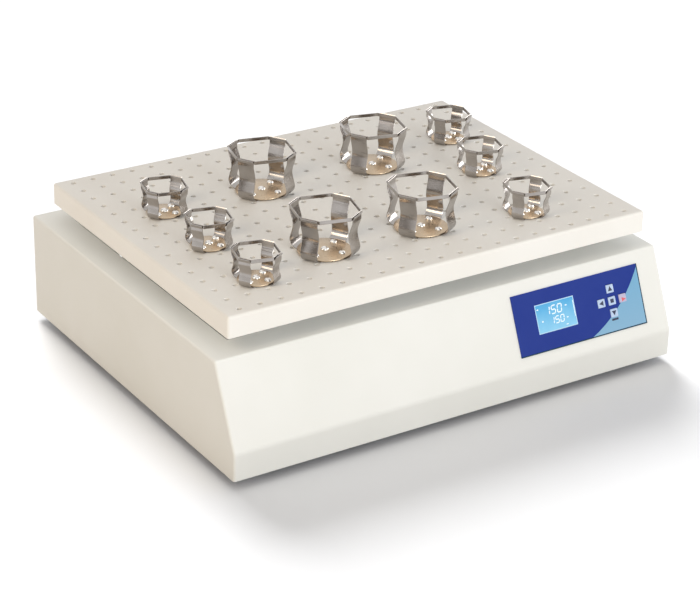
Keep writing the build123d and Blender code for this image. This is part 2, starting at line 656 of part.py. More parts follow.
def make_post_screws():
    head = Pos(0, 0, -POST_SCREW_HEAD_HEIGHT) * hexagon(POST_SCREW_HEAD, POST_SCREW_HEAD_HEIGHT)
    screw = head + hexagon(POST_SCREW_RADIUS, CARRIAGE_SHEET)
    return [at_pin(x, y, PLATE_UNDER) * screw for x, y in POSTS]


def hole_place(column, row):
    """The centre of a tray hole, counted from the front-left corner."""
    x = (column - (HOLE_COLUMNS - 1) / 2) * HOLE_PITCH
    y = (row - (HOLE_ROWS - 1) / 2) * HOLE_PITCH
    return x, y


def make_tray():
    """A pan turned upside down, with its grid of holes. The corner holes are round, for the mount."""
    pan = block(TRAY_LENGTH, TRAY_DEPTH, TRAY_SKIRT)
    inner = block(TRAY_LENGTH - 2 * TRAY_SHEET, TRAY_DEPTH - 2 * TRAY_SHEET, TRAY_SKIRT - TRAY_SHEET)
    pan = fillet([e for e in pan.edges() if e.center().Z > 1], TRAY_BEND)
    inner = fillet([e for e in inner.edges() if e.center().Z > 1], TRAY_BEND - TRAY_SHEET)
    pan -= inner
    corners = [(c, r) for c in (0, HOLE_COLUMNS - 1) for r in (0, HOLE_ROWS - 1)]
    under = TRAY_SKIRT - TRAY_SHEET
    holes = []
    for column in range(HOLE_COLUMNS):
        for row in range(HOLE_ROWS):
            x, y = hole_place(column, row)
            bar = rod if (column, row) in corners else hexagon
            punch = bar(HOLE_DIAMETER / 2, TRAY_SHEET)
            holes.append(Pos(x, y, under) * punch)
    pan -= holes
    return at_pin(z=TRAY_TOP - TRAY_SKIRT) * pan


# Flask clamps: a disc, four sprung straps riveted to it and an eight-sided ring inside their tops

def ring_apothem(size):
    """From the clamp's axis to the outside of the ring's short sides."""
    return size.ring_radius * cos(radians(SHORT_SIDE_ANGLE / 2))


def ring_outline(size, inset):
    """Eight sides, the short ones facing the straps."""
    half = SHORT_SIDE_ANGLE / 2
    radius = size.ring_radius
    corners = [(radius * cos(radians(a + s * half)), radius * sin(radians(a + s * half)))
               for a in (45, 135, 225, 315) for s in (-1, 1)]
    outline = Polygon(*corners, align=None)
    return offset(outline, -inset, kind=Kind.INTERSECTION) if inset else outline


def make_strap(size):
    """One strap: flat on the disc, round under its foot, in at the waist and up against the ring."""
    top = ring_apothem(size) + CLAMP_SHEET
    straight = size.height - 2 * RING_HEIGHT
    path = FilletPolyline(
        (size.rivet_radius - size.bend - 1, 0), (size.foot_reach, 0), (size.waist_reach, WAIST * size.height),
        (top, straight), (top, size.height), radius=size.bend)
    strap = make_brake_formed(CLAMP_SHEET, size.arm_width, line=path, side=Side.LEFT)
    return Rot(90, 0, 0) * Pos(0, 0, -size.arm_width / 2) * strap


def clamp_place(hole):
    x, y = hole_place(*hole)
    return at_pin(x, y, TRAY_TOP) * Rot(0, 0, CLAMP_TURN)


def clamp_sites():
    """Every clamp in order, with its size and the place of its axis on the tray."""
    sites = [(LARGE, n + 1, clamp_place(hole)) for n, hole in enumerate(LARGE_HOLES)]
    return sites + [(SMALL, n + 1, clamp_place(hole)) for n, hole in enumerate(SMALL_HOLES)]


def make_clamp(size, place):
    disc = rod(size.disc_radius, DISC_SHEET) - hexagon(CLAMP_SCREW_RADIUS + HOLE_ROOM, DISC_SHEET)
    strap = Pos(0, 0, DISC_SHEET) * make_strap(size)
    return [place * disc] + [place * Rot(0, 0, angle) * strap for angle in STRAP_ANGLES]


def make_ring(size, place):
    band = extrude(ring_outline(size, 0) - ring_outline(size, CLAMP_SHEET), RING_HEIGHT)
    return place * Pos(0, 0, DISC_SHEET + size.height - RING_HEIGHT) * band


def make_rings(size):
    return [make_ring(size, place) for one, number, place in clamp_sites() if one is size]


def make_clamp_rivets():
    """The domed head that holds each strap to its disc, as a stub of six sides."""
    head = extrude(RegularPolygon(RIVET_HEAD, FASTENER_SIDES), RIVET_HEIGHT, taper=RIVET_TAPER)
    return [place * Rot(0, 0, angle) * Pos(size.rivet_radius, 0, DISC_SHEET + CLAMP_SHEET) * head
            for size, number, place in clamp_sites() for angle in STRAP_ANGLES]


def make_clamp_screws():
    """One screw down the axis of each clamp, through its tray hole, with a nut under the tray."""
    head = Pos(0, 0, DISC_SHEET) * extrude(
        RegularPolygon(CLAMP_SCREW_HEAD, FASTENER_SIDES), RIVET_HEIGHT, taper=RIVET_TAPER)
    grip = DISC_SHEET + TRAY_SHEET
    shank = Pos(0, 0, -TRAY_SHEET - NUT_HEIGHT) * hexagon(CLAMP_SCREW_RADIUS, grip + NUT_HEIGHT)
    nut = Pos(0, 0, -TRAY_SHEET - NUT_HEIGHT) * hexagon(NUT_RADIUS, NUT_HEIGHT)
    screw = head + shank + nut
    return [place * screw for size, number, place in clamp_sites()]


# Power supply, motor driver and the fittings in the rear wall

def make_power_supply():
    """A closed supply with a row of slots along its lid."""
    case = block(SUPPLY_LENGTH, SUPPLY_DEPTH, SUPPLY_HEIGHT)
    for n in range(SUPPLY_SLOTS):
        y = (n - (SUPPLY_SLOTS - 1) / 2) * VENT_PITCH
        slot = block(SUPPLY_LENGTH - 2 * VENT_PITCH, VENT_WIDTH, SUPPLY_SLOT_DEPTH)
        case -= Pos(0, y, SUPPLY_HEIGHT - SUPPLY_SLOT_DEPTH) * slot
    return Pos(SUPPLY_X, 0, BASE_TOP) * case


def make_driver_board():
    board = block(DRIVER_LENGTH, DRIVER_DEPTH, BOARD_SHEET)
    return Pos(0, DRIVER_Y, BASE_TOP + DRIVER_STANDOFF) * board


def make_heat_sink():
    """A finned block that cools the motor driver."""
    sink = block(SINK_LENGTH, SINK_DEPTH, SINK_HEIGHT)
    for n in range(SINK_SLOTS):
        x = (n - (SINK_SLOTS - 1) / 2) * SINK_PITCH
        sink -= Pos(x, 0, SINK_BASE) * block(SINK_PITCH / 2, SINK_DEPTH, SINK_HEIGHT - SINK_BASE)
    return Pos(0, DRIVER_Y, BASE_TOP + DRIVER_STANDOFF + BOARD_SHEET) * sink


def make_driver_standoffs():
    x, y = DRIVER_LENGTH / 2 - STANDOFF_INSET, DRIVER_DEPTH / 2 - STANDOFF_INSET
    post = hexagon(STANDOFF_WIDTH / 2, DRIVER_STANDOFF)
    return [Pos(sx * x, DRIVER_Y + sy * y, BASE_TOP) * post for sx in (-1, 1) for sy in (-1, 1)]


def rear_place(x):
    """A place on the outside of the rear wall: local X to the right seen from behind, Y up and Z out."""
    return Location(Plane(origin=(x, REAR_Y, FITTING_Z), x_dir=(-1, 0, 0), z_dir=(0, 1, 0)))


def make_power_inlet():
    flange = block(INLET_FLANGE_LENGTH, INLET_HEIGHT + 2 * FLANGE_MARGIN, FITTING_FLANGE)
    flange = fillet(flange.edges().filter_by(Axis.Z), INLET_CORNER)
    body = Pos(0, 0, -INLET_BODY_DEPTH) * block(
        INLET_LENGTH - 2 * SEAT, INLET_HEIGHT - 2 * SEAT, INLET_BODY_DEPTH)
    socket = Pos(0, 0, FITTING_FLANGE - SOCKET_DEPTH) * block(SOCKET_LENGTH, SOCKET_HEIGHT, SOCKET_DEPTH)
    socket = chamfer(socket.edges().filter_by(Axis.Z).group_by(Axis.Y)[-1], SOCKET_CORNER)
    return rear_place(INLET_X) * (flange + body - socket)


def make_inlet_pins():
    """Three flat blades on the floor of the socket, the earth one a little higher."""
    blade = Pos(0, 0, FITTING_FLANGE - SOCKET_DEPTH) * block(BLADE_SHEET, BLADE_WIDTH, BLADE_LENGTH)
    places = ((-BLADE_SPACING, -BLADE_OFFSET), (0, BLADE_OFFSET), (BLADE_SPACING, -BLADE_OFFSET))
    return [rear_place(INLET_X) * Pos(x, y, 0) * blade for x, y in places]


def make_switch_frame():
    flange = block(SWITCH_LENGTH + 2 * FLANGE_MARGIN, SWITCH_HEIGHT + 2 * FLANGE_MARGIN, FITTING_FLANGE)
    body = Pos(0, 0, -SWITCH_BODY_DEPTH) * block(
        SWITCH_LENGTH - 2 * SEAT, SWITCH_HEIGHT - 2 * SEAT, SWITCH_BODY_DEPTH)
    well = Pos(0, 0, FITTING_FLANGE - ROCKER_WELL) * block(
        SWITCH_LENGTH - 2 * SWITCH_WALL, SWITCH_HEIGHT - 2 * SWITCH_WALL, ROCKER_WELL)
    return rear_place(SWITCH_X) * (flange + body - well)


def make_rocker():
    """The rocker leans on its pivot at rest, switched off, with its upper end out."""
    half = SWITCH_HEIGHT / 2 - SWITCH_WALL - ROCKER_CLEARANCE
    width = SWITCH_LENGTH - 2 * SWITCH_WALL - 2 * ROCKER_SIDE_GAP
    profile = Polygon(
        (-half, ROCKER_END), (0, ROCKER_DIP), (half, ROCKER_END),
        (half - 1, -ROCKER_SKIRT), (-half + 1, -ROCKER_SKIRT), align=None)
    prism = extrude(profile, width / 2, both=True)
    lean = Rot(0, 0, ROCKER_TILT) * prism
    upright = Plane(origin=(0, 0, FITTING_FLANGE - ROCKER_PIVOT_DEPTH), x_dir=(0, 1, 0), z_dir=(1, 0, 0))
    return rear_place(SWITCH_X) * Location(upright) * lean


def make_fuse_holder():
    cap = rod(FUSE_RADIUS + FUSE_CAP_MARGIN, FUSE_CAP_HEIGHT)
    cap -= Pos(0, 0, FUSE_CAP_HEIGHT - FUSE_SLOT) * block(2 * FUSE_RADIUS, FUSE_SLOT, FUSE_SLOT)
    body = Pos(0, 0, -FUSE_BODY_DEPTH) * rod(FUSE_RADIUS - SEAT, FUSE_BODY_DEPTH)
    return rear_place(FUSE_X) * (cap + body)


def make_base_screws():
    screw = Pos(0, 0, -SCREW_HEAD_HEIGHT) * hexagon(SCREW_HEAD, SCREW_HEAD_HEIGHT)
    screw += hexagon(SCREW_RADIUS, BASE_SHEET + HOUSING_SHEET)
    return [Pos(x, y, FOOT_HEIGHT) * screw for x, y in flange_screws()]


def make_foot_screws():
    screw = Pos(0, 0, FOOT_HEIGHT / 2 - SCREW_HEAD_HEIGHT) * hexagon(SCREW_HEAD, SCREW_HEAD_HEIGHT)
    screw += Pos(0, 0, FOOT_HEIGHT / 2) * hexagon(SCREW_RADIUS, FOOT_HEIGHT / 2 + BASE_SHEET)
    return [Pos(x, y, 0) * screw for x, y in foot_places()]


# The whole model

def make_nodes():
    nodes = {
        "housing": make_housing(),
        "deck_braces": make_deck_braces(),
        "base_plate": make_base_plate(),
        "feet": make_feet(),
        "foot_screws": make_foot_screws(),
        "base_screws": make_base_screws(),
        "panel_fascia": make_fascia(),
        "screen_window": make_screen_window(),
        "screen_module": make_screen_module(),
        "control_board": make_control_board(),
        "board_standoffs": make_board_standoffs() + make_driver_standoffs(),
        "key_switches": make_key_switches(),
        "spindle_housing": make_spindle_housing(),
        "main_bearings": make_main_bearings(),
        "main_crank": make_main_crank(),
        "counterweight": make_counterweight(),
        "driven_pulley": make_driven_pulley(),
        "motor_pulley": make_motor_pulley(),
        "drive_belt": make_belt(),
        "motor_bracket": make_motor_bracket(),
        "motor": make_motor_body(),
        "motor_shaft": make_motor_shaft(),
        "support_pillars": make_support_pillars(),
        "support_bearings": make_support_bearings(),
        "carriage": make_carriage(),
        "carriage_bearings": make_carriage_bearings(),
        "tray_posts": make_tray_posts(),
        "post_screws": make_post_screws(),
        "tray": make_tray(),
        "power_supply": make_power_supply(),
        "driver_board": make_driver_board(),
        "heat_sink": make_heat_sink(),
        "power_inlet": make_power_inlet(),
        "inlet_pins": make_inlet_pins(),
        "switch_frame": make_switch_frame(),
        "switch_rocker": make_rocker(),
        "fuse_holder": make_fuse_holder(),
        "large_clamp_rings": make_rings(LARGE),
        "small_clamp_rings": make_rings(SMALL),
        "clamp_rivets": make_clamp_rivets(),
        "clamp_screws": make_clamp_screws(),
    }
    for name in KEYS:
        nodes[name] = make_key(name)
    for n, (x, y) in enumerate(SUPPORTS):
        nodes[f"support_crank_{n + 1}"] = make_support_crank(x, y)
    for size, number, place in clamp_sites():
        nodes[f"{size.name}_{number}"] = make_clamp(size, place)
    return nodes


def as_shape(made):
    return Compound(children=made) if isinstance(made, list) else made


def footprint_middle():
    """Halfway between the foremost and the rearmost point at rest."""
    front = min(FRONT_Y, CRANK_PIN[1] - TRAY_DEPTH / 2)
    rear = max(REAR_Y + FUSE_CAP_HEIGHT, CRANK_PIN[1] + TRAY_DEPTH / 2)
    return (front + rear) / 2


def main():
    os.makedirs("parts", exist_ok=True)
    shift = Pos(0, -footprint_middle(), 0)
    for name, made in make_nodes().items():
        export_step(shift * as_shape(made), f"parts/{name}.step")


main()
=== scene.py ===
import json
from math import ceil, cos, pi, radians, sin, tan

import bmesh
import bpy
from mathutils import Matrix, Vector

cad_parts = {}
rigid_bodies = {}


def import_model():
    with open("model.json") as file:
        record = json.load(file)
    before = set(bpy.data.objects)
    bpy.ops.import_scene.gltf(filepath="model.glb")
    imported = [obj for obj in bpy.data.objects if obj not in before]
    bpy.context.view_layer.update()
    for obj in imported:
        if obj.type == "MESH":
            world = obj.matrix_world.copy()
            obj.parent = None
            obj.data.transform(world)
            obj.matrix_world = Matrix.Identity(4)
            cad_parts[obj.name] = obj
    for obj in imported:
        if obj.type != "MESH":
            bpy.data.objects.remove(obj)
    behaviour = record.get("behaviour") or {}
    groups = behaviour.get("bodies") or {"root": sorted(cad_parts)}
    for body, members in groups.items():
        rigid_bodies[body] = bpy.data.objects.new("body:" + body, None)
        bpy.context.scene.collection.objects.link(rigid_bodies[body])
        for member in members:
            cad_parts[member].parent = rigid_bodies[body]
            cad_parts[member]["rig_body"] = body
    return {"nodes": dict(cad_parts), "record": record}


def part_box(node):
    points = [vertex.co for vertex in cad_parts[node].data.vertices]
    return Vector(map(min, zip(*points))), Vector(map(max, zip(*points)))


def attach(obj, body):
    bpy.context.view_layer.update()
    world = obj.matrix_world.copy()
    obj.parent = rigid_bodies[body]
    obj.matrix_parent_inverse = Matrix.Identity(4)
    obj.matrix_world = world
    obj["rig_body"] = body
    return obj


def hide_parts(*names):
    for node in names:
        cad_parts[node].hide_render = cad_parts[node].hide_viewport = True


# The looks of a flask shaker: an off-white housing with a blue control panel, and a perforated tray
# with ten sprung flask clamps. X runs along the front, Y from front to back and Z up, in metres.

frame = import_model()
nodes = frame["nodes"]
joints = {joint["name"]: joint for joint in frame["record"]["behaviour"]["joints"]}
scene = bpy.context.scene
MM = 0.001

for thing in list(bpy.data.objects):
    if thing.type in ("MESH", "LIGHT", "CAMERA") and "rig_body" not in thing:
        bpy.data.objects.remove(thing)
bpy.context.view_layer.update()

# Tray: the sheet, its bends and its grid of holes
HOLE_PITCH = 25 * MM
HOLE_COLUMNS = 21
HOLE_ROWS = 16
HOLE_RADIUS = 3 * MM
HOLE_ROLL = 0.55 * MM
HOLE_DRAW = 1.3 * MM
HOLE_COLLAR = 0.9 * MM
HOLE_STEPS = 6  # for each quarter of a hole
TRAY_SHEET = 2 * MM
TRAY_BEND = 3 * MM
BEND_STEPS = 5
RIM_ROUND = 0.3 * MM

# Clamps: a disc, four straps and a ring, in two sizes
LARGE = {
    "name": "large_clamp", "count": 4, "disc": 30 * MM, "ring": 39 * MM, "width": 20 * MM, "rivet": 21 * MM,
    "foot": 41 * MM, "waist": 33 * MM, "bend": 10 * MM}
SMALL = {
    "name": "small_clamp", "count": 6, "disc": 20 * MM, "ring": 26.5 * MM, "width": 14 * MM, "rivet": 14 * MM,
    "foot": 28.5 * MM, "waist": 22.5 * MM, "bend": 7 * MM}
CLAMP_TURN = radians(-14)
STRAP_ANGLES = [radians(45 + 90 * n) for n in range(4)]
STRAP_SHEET = 1 * MM
STRAP_EDGE = 0.3 * MM
STRAP_LIP = 1.6 * MM
STRAP_LIP_HEIGHT = 3 * MM
STRAP_LIP_DROP = 0.3 * MM
STRAP_LIP_BEND = 3 * MM
ARC_STEP = radians(12)
WAIST_SHARE = 0.54
DISC_SHEET = 1.5 * MM
DISC_EDGE = 0.5 * MM
RING_HEIGHT = 4 * MM
RING_SHEET = 1 * MM
RING_SHORT_SIDE = radians(36)
HEAD_RADIUS = 3.9 * MM
HEAD_HEIGHT = 3 * MM
HEAD_FOOT = 0.3 * MM
CENTRE_HEAD_RADIUS = 4.5 * MM
SHANK_RADIUS = 2.8 * MM
NUT_RADIUS = 5.5 * MM
NUT_HEIGHT = 4 * MM
NUT_EDGE = 0.4 * MM
NUT_SIDES = 6
DISC_STEPS = 72
CENTRE_HEAD_STEPS = 24
HEAD_STEPS = 20
SHANK_STEPS = 16

# Control panel, measured from the middle of the fascia along it and up it
SCREEN_MIDDLE = (-32.7 * MM, 1.9 * MM)
SCREEN_SIZE = (53.4 * MM, 32.8 * MM)
SCREEN_RIM = 1 * MM
PALE_ARC_CENTRE = (-56.1 * MM, 122.4 * MM)
PALE_ARC_RADIUS = 169.6 * MM
PANEL_SIZE = (176 * MM, 69 * MM)
PANEL_BORDER = 1.3 * MM
FASCIA_SHEET = 1.2 * MM
PRINT_THICKNESS = 0.12 * MM
DIGIT_SLANT = 0.12
DIGIT_WIDTH = 0.62
DIGIT_PITCH = 0.93

# Figures on the screen: the text, the place of its lower left corner, its height and its stroke
FIGURES = (
    ("150", (0.25, 0.42), 8.9 * MM, 1.3 * MM),
    ("150", (0.34, 0.76), 7.4 * MM, 1.1 * MM))
# Small marks beside them, and a painted highlight: their middles, as shares of the screen, and their sizes
SCREEN_MARKS_AND_HIGHLIGHT = (
    ((0.78, 0.25), (2.4 * MM, 1.3 * MM)), ((0.775, 0.66), (2.2 * MM, 1.2 * MM)),
    ((0.06, 0.17), (2.2 * MM, 1.2 * MM)), ((0.14, 0.6), (1.9 * MM, 1.7 * MM)),
    # The last, a thin upright bar in white print, is a painted highlight along the screen's right edge
    ((0.74, 0.89), (3.0 * MM, 0.9 * MM)), ((0.972, 0.42), (0.7 * MM, 18 * MM)))
# Bars of a figure, between places that count its widths and its half heights
SEGMENTS = {
    "top": ((0, 2), (1, 2)), "upper_right": ((1, 2), (1, 1)), "lower_right": ((1, 1), (1, 0)),
    "bottom": ((1, 0), (0, 0)), "lower_left": ((0, 0), (0, 1)), "upper_left": ((0, 1), (0, 2)),
    "middle": ((0, 1), (1, 1))}
DIGITS = {
    "0": ("top", "upper_right", "lower_right", "bottom", "lower_left", "upper_left"),
    "1": ("upper_right", "lower_right"),
    "5": ("top", "upper_left", "middle", "lower_right", "bottom")}
SEGMENT_GAP = 0.15

# Keys: caps with eased edges, given as insets and drops below the face, and the marks on them
KEY_CAP = (10 * MM, 9.3 * MM)
KEY_ROUND = 0.8 * MM
KEY_ROUND_STEPS = 4
KEY_PROUD = 0.4 * MM
KEY_DEPTH = 1.3 * MM
KEY_EDGE = ((0, 0.25 * MM), (0.12 * MM, 0.06 * MM), (0.4 * MM, 0))
KEY_BAR = (9 * MM, 2.4 * MM)
KEY_BAR_DROP = 2.6 * MM
KEY_MARKS = {
    "key_up": [(-0.31, -0.26), (0.31, -0.26), (0, 0.32)],
    "key_down": [(-0.31, 0.26), (0, -0.32), (0.31, 0.26)],
    "key_left": [(0.26, -0.31), (0.26, 0.31), (-0.32, 0)],
    "key_right": [(-0.14, -0.42), (0.44, -0.16), (-0.14, 0.1)],
    "key_centre": [(-0.24, -0.24), (0.24, -0.24), (0.24, 0.24), (-0.24, 0.24)]}

# Lamps and floor
LAMP_AIM = (0, 0, 0.12)
SHEEN_AIM = (0, 0, 0.15)
COOL_LIGHT = (0.96, 0.99, 1.0)
WARM_LIGHT = (1.0, 0.85, 0.66)
SHADOW_POWER = 2.2
SHADOW_ANGLE = radians(24)
FLOOR_REACH = 6.0

# Camera, at the photograph's angle
CAMERA_AZIMUTH = radians(-33.217484)
CAMERA_ELEVATION = radians(25.885401)
CAMERA_ROLL = radians(1.403881)
CAMERA_LENS = 118.31
CAMERA_SENSOR = 36
CAMERA_DISTANCE = 2.604808
CAMERA_SIDE = 0.003701
CAMERA_RISE = -0.116909


# Materials

def new_material(name):
    material = bpy.data.materials.new(name)
    material.use_nodes = True
    return material, material.node_tree, material.node_tree.nodes["Principled BSDF"]


def srgb(red, green, blue):
    """A colour given as a screen shows it, 0 to 255, as the linear values that a shader takes."""
    linear = []
    for value in (red, green, blue):
        share = value / 255
        linear.append(share / 12.92 if share <= 0.04045 else ((share + 0.055) / 1.055) ** 2.4)
    return (*linear, 1.0)


def add_node(tree, kind, links=None, values=None, **settings):
    """Adds a shader node. links maps its inputs to other nodes' outputs, values maps them to numbers."""
    node = tree.nodes.new(kind)
    for name, value in settings.items():
        setattr(node, name, value)
    for name, value in (values or {}).items():
        node.inputs[name].default_value = value
    for name, output in (links or {}).items():
        tree.links.new(output, node.inputs[name])
    return node


def place_in(tree, stretch=(1, 1, 1)):
    """The point on the object, in the shared frame, stretched along its axes."""
    point = add_node(tree, "ShaderNodeTexCoord").outputs["Object"]
    return add_node(tree, "ShaderNodeMapping", {"Vector": point}, {"Scale": stretch}).outputs["Vector"]


def noise(tree, scale, detail=3.0, stretch=(1, 1, 1), roughness=0.5):
    return add_node(
        tree, "ShaderNodeTexNoise", {"Vector": place_in(tree, stretch)},
        {"Scale": scale, "Detail": detail, "Roughness": roughness}).outputs["Fac"]


def spread(tree, value, low, high, start=0.3, end=0.7):
    """Maps the middle of a noise onto the range from low to high."""
    return add_node(
        tree, "ShaderNodeMapRange", {"Value": value},
        {"From Min": start, "From Max": end, "To Min": low, "To Max": high}).outputs["Result"]


def mix(tree, factor, first, second):
    """One of two colours or a blend of them. Each may be a colour or another node's output."""
    node = add_node(tree, "ShaderNodeMix", data_type="RGBA")
    for socket, value in ((node.inputs[0], factor), (node.inputs[6], first), (node.inputs[7], second)):
        if isinstance(value, bpy.types.NodeSocket):
            tree.links.new(value, socket)
        else:
            socket.default_value = value
    return node.outputs[2]


def bump(tree, shader, height, distance, strength=1.0):
    node = add_node(tree, "ShaderNodeBump", {"Height": height}, {"Distance": distance, "Strength": strength})
    tree.links.new(node.outputs["Normal"], shader.inputs["Normal"])


def powder_coat(name, colour, deep):
    """Baked paint: a fine orange-peel skin and a faint drift in its colour and gloss."""
    material, tree, shader = new_material(name)
    drift = spread(tree, noise(tree, 9), 0, 1)
    tree.links.new(mix(tree, drift, colour, deep), shader.inputs["Base Color"])
    tree.links.new(spread(tree, noise(tree, 30), 0.42, 0.56), shader.inputs["Roughness"])
    shader.inputs["Specular IOR Level"].default_value = 0.3
    bump(tree, shader, noise(tree, 900, detail=2), 0.05 * MM, 0.5)
    return material


def brushed_metal(name, colour, worn, roughness, grain=(1, 1, 12), depth=0.02 * MM):
    """Sheet metal with fine scratches that run round it, and a faint stain."""
    material, tree, shader = new_material(name)
    shader.inputs["Metallic"].default_value = 1.0
    stain = spread(tree, noise(tree, 55), 0, 1)
    tree.links.new(mix(tree, stain, colour, worn), shader.inputs["Base Color"])
    scratches = noise(tree, 420, detail=4, stretch=grain)
    tree.links.new(spread(tree, scratches, roughness * 0.75, roughness * 1.3), shader.inputs["Roughness"])
    bump(tree, shader, scratches, depth, 0.3)
    return material


def cast_metal(name, colour, worn):
    material, tree, shader = new_material(name)
    shader.inputs["Metallic"].default_value = 0.9
    tree.links.new(mix(tree, spread(tree, noise(tree, 40), 0, 1), colour, worn), shader.inputs["Base Color"])
    tree.links.new(spread(tree, noise(tree, 150), 0.42, 0.62), shader.inputs["Roughness"])
    bump(tree, shader, noise(tree, 700), 0.15 * MM, 0.6)
    return material


def zinc_sheet(name):
    """Galvanised sheet with its flat, many-sided spangle."""
    material, tree, shader = new_material(name)
    shader.inputs["Metallic"].default_value = 0.85
    cells = add_node(
        tree, "ShaderNodeTexVoronoi", {"Vector": place_in(tree)}, {"Scale": 110.0}).outputs["Color"]
    tone = add_node(tree, "ShaderNodeRGBToBW", {"Color": cells}).outputs["Val"]
    tree.links.new(mix(tree, tone, srgb(168, 172, 175), srgb(196, 199, 201)), shader.inputs["Base Color"])
    tree.links.new(spread(tree, tone, 0.34, 0.5, 0, 1), shader.inputs["Roughness"])
    bump(tree, shader, noise(tree, 260), 0.03 * MM, 0.5)
    return material


def moulded_plastic(name, colour, worn, roughness=0.42):
    material, tree, shader = new_material(name)
    tree.links.new(mix(tree, spread(tree, noise(tree, 60), 0, 1), colour, worn), shader.inputs["Base Color"])
    tree.links.new(
        spread(tree, noise(tree, 240), roughness * 0.85, roughness * 1.2), shader.inputs["Roughness"])
    bump(tree, shader, noise(tree, 1500, detail=2), 0.04 * MM, 0.5)
    return material


def circuit_board(name):
    """Green solder mask with the faint raised lines of its tracks."""
    material, tree, shader = new_material(name)
    tracks = add_node(
        tree, "ShaderNodeTexBrick", {"Vector": place_in(tree)},
        {"Scale": 160.0, "Mortar Size": 0.03, "Color1": (0, 0, 0, 1), "Color2": (0.1, 0.1, 0.1, 1),
         "Mortar": (1, 1, 1, 1)})
    tone = tracks.outputs["Color"]
    tree.links.new(mix(tree, tone, srgb(24, 84, 52), srgb(48, 118, 74)), shader.inputs["Base Color"])
    shader.inputs["Roughness"].default_value = 0.35
    bump(tree, shader, tone, 0.05 * MM)
    return material


# Places on the control panel

press_axis = Vector(joints["key_centre_press"]["axis"])
PANEL_OUT = -press_axis
PANEL_ALONG = Vector((1, 0, 0))
PANEL_UP = PANEL_OUT.cross(PANEL_ALONG)
fascia_low, fascia_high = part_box("panel_fascia")
PANEL_MIDDLE = (fascia_low + fascia_high) / 2 + PANEL_OUT * FASCIA_SHEET / 2


def on_panel(along, up, proud=0.0):
    return PANEL_MIDDLE + PANEL_ALONG * along + PANEL_UP * up + PANEL_OUT * proud


def panel_distances(tree, middle=(0, 0)):
    """How far the shaded point lies along the panel and up it from a place on it."""
    point = add_node(tree, "ShaderNodeTexCoord").outputs["Object"]
    origin = on_panel(*middle)
    offset = add_node(
        tree, "ShaderNodeVectorMath", {0: point}, {1: origin}, operation="SUBTRACT").outputs["Vector"]
    return [
        add_node(
            tree, "ShaderNodeVectorMath", {0: offset}, {1: axis}, operation="DOT_PRODUCT").outputs["Value"]
        for axis in (PANEL_ALONG, PANEL_UP)]


def calculate(tree, operation, first, second=None):
    """A Math node. Each operand may be a number or another node's output."""
    node = add_node(tree, "ShaderNodeMath", operation=operation)
    for socket, value in zip(node.inputs, (first, second)):
        if isinstance(value, bpy.types.NodeSocket):
            tree.links.new(value, socket)
        elif value is not None:
            socket.default_value = value
    return node.outputs["Value"]


def panel_film(name):
    """The film: printed deep blue, and pale blue outside a wide arc, with a thin dark line along its right
    and bottom edges.
    """
    material, tree, shader = new_material(name)
    along, up = panel_distances(tree, PALE_ARC_CENTRE)
    squares = calculate(
        tree, "ADD", calculate(tree, "MULTIPLY", along, along), calculate(tree, "MULTIPLY", up, up))
    is_pale = calculate(tree, "GREATER_THAN", calculate(tree, "SQRT", squares), PALE_ARC_RADIUS)
    deep = mix(tree, spread(tree, noise(tree, 25), 0, 1), srgb(33, 56, 143), srgb(38, 60, 146))
    pale = mix(tree, spread(tree, up, 0, 1, -0.16, -0.09), srgb(141, 184, 214), srgb(122, 178, 214))
    printed = mix(tree, is_pale, deep, pale)
    across, rise = panel_distances(tree)
    at_right = calculate(tree, "GREATER_THAN", across, PANEL_SIZE[0] / 2 - PANEL_BORDER)
    at_bottom = calculate(tree, "LESS_THAN", rise, -PANEL_SIZE[1] / 2 + PANEL_BORDER)
    edge = calculate(tree, "MAXIMUM", at_right, at_bottom)
    tree.links.new(mix(tree, edge, printed, srgb(28, 62, 84)), shader.inputs["Base Color"])
    tree.links.new(spread(tree, noise(tree, 200), 0.3, 0.4), shader.inputs["Roughness"])
    shader.inputs["Specular IOR Level"].default_value = 0.12
    bump(tree, shader, noise(tree, 1400, detail=2), 0.02 * MM, 0.4)
    return material


def lit_screen(name):
    """A backlit liquid-crystal window: brighter towards its foot, with a pale rim."""
    material, tree, shader = new_material(name)
    across, rise = panel_distances(tree, SCREEN_MIDDLE)
    half_length, half_height = SCREEN_SIZE[0] / 2, SCREEN_SIZE[1] / 2
    glow = spread(tree, rise, 1, 0, -half_height, half_height)
    drift = calculate(tree, "ADD", glow, spread(tree, noise(tree, 45), -0.15, 0.15))
    lit = mix(tree, drift, srgb(76, 168, 220), srgb(138, 202, 236))
    at_side = calculate(tree, "GREATER_THAN", calculate(tree, "ABSOLUTE", across), half_length - SCREEN_RIM)
    at_end = calculate(tree, "GREATER_THAN", calculate(tree, "ABSOLUTE", rise), half_height - SCREEN_RIM)
    edge = calculate(tree, "MAXIMUM", at_side, at_end)
    colour = mix(tree, edge, lit, srgb(178, 214, 240))
    tree.links.new(colour, shader.inputs["Base Color"])
    tree.links.new(colour, shader.inputs["Emission Color"])
    shader.inputs["Emission Strength"].default_value = 0.12
    shader.inputs["Roughness"].default_value = 0.2
    bump(tree, shader, noise(tree, 900), 0.01 * MM, 0.3)
    return material


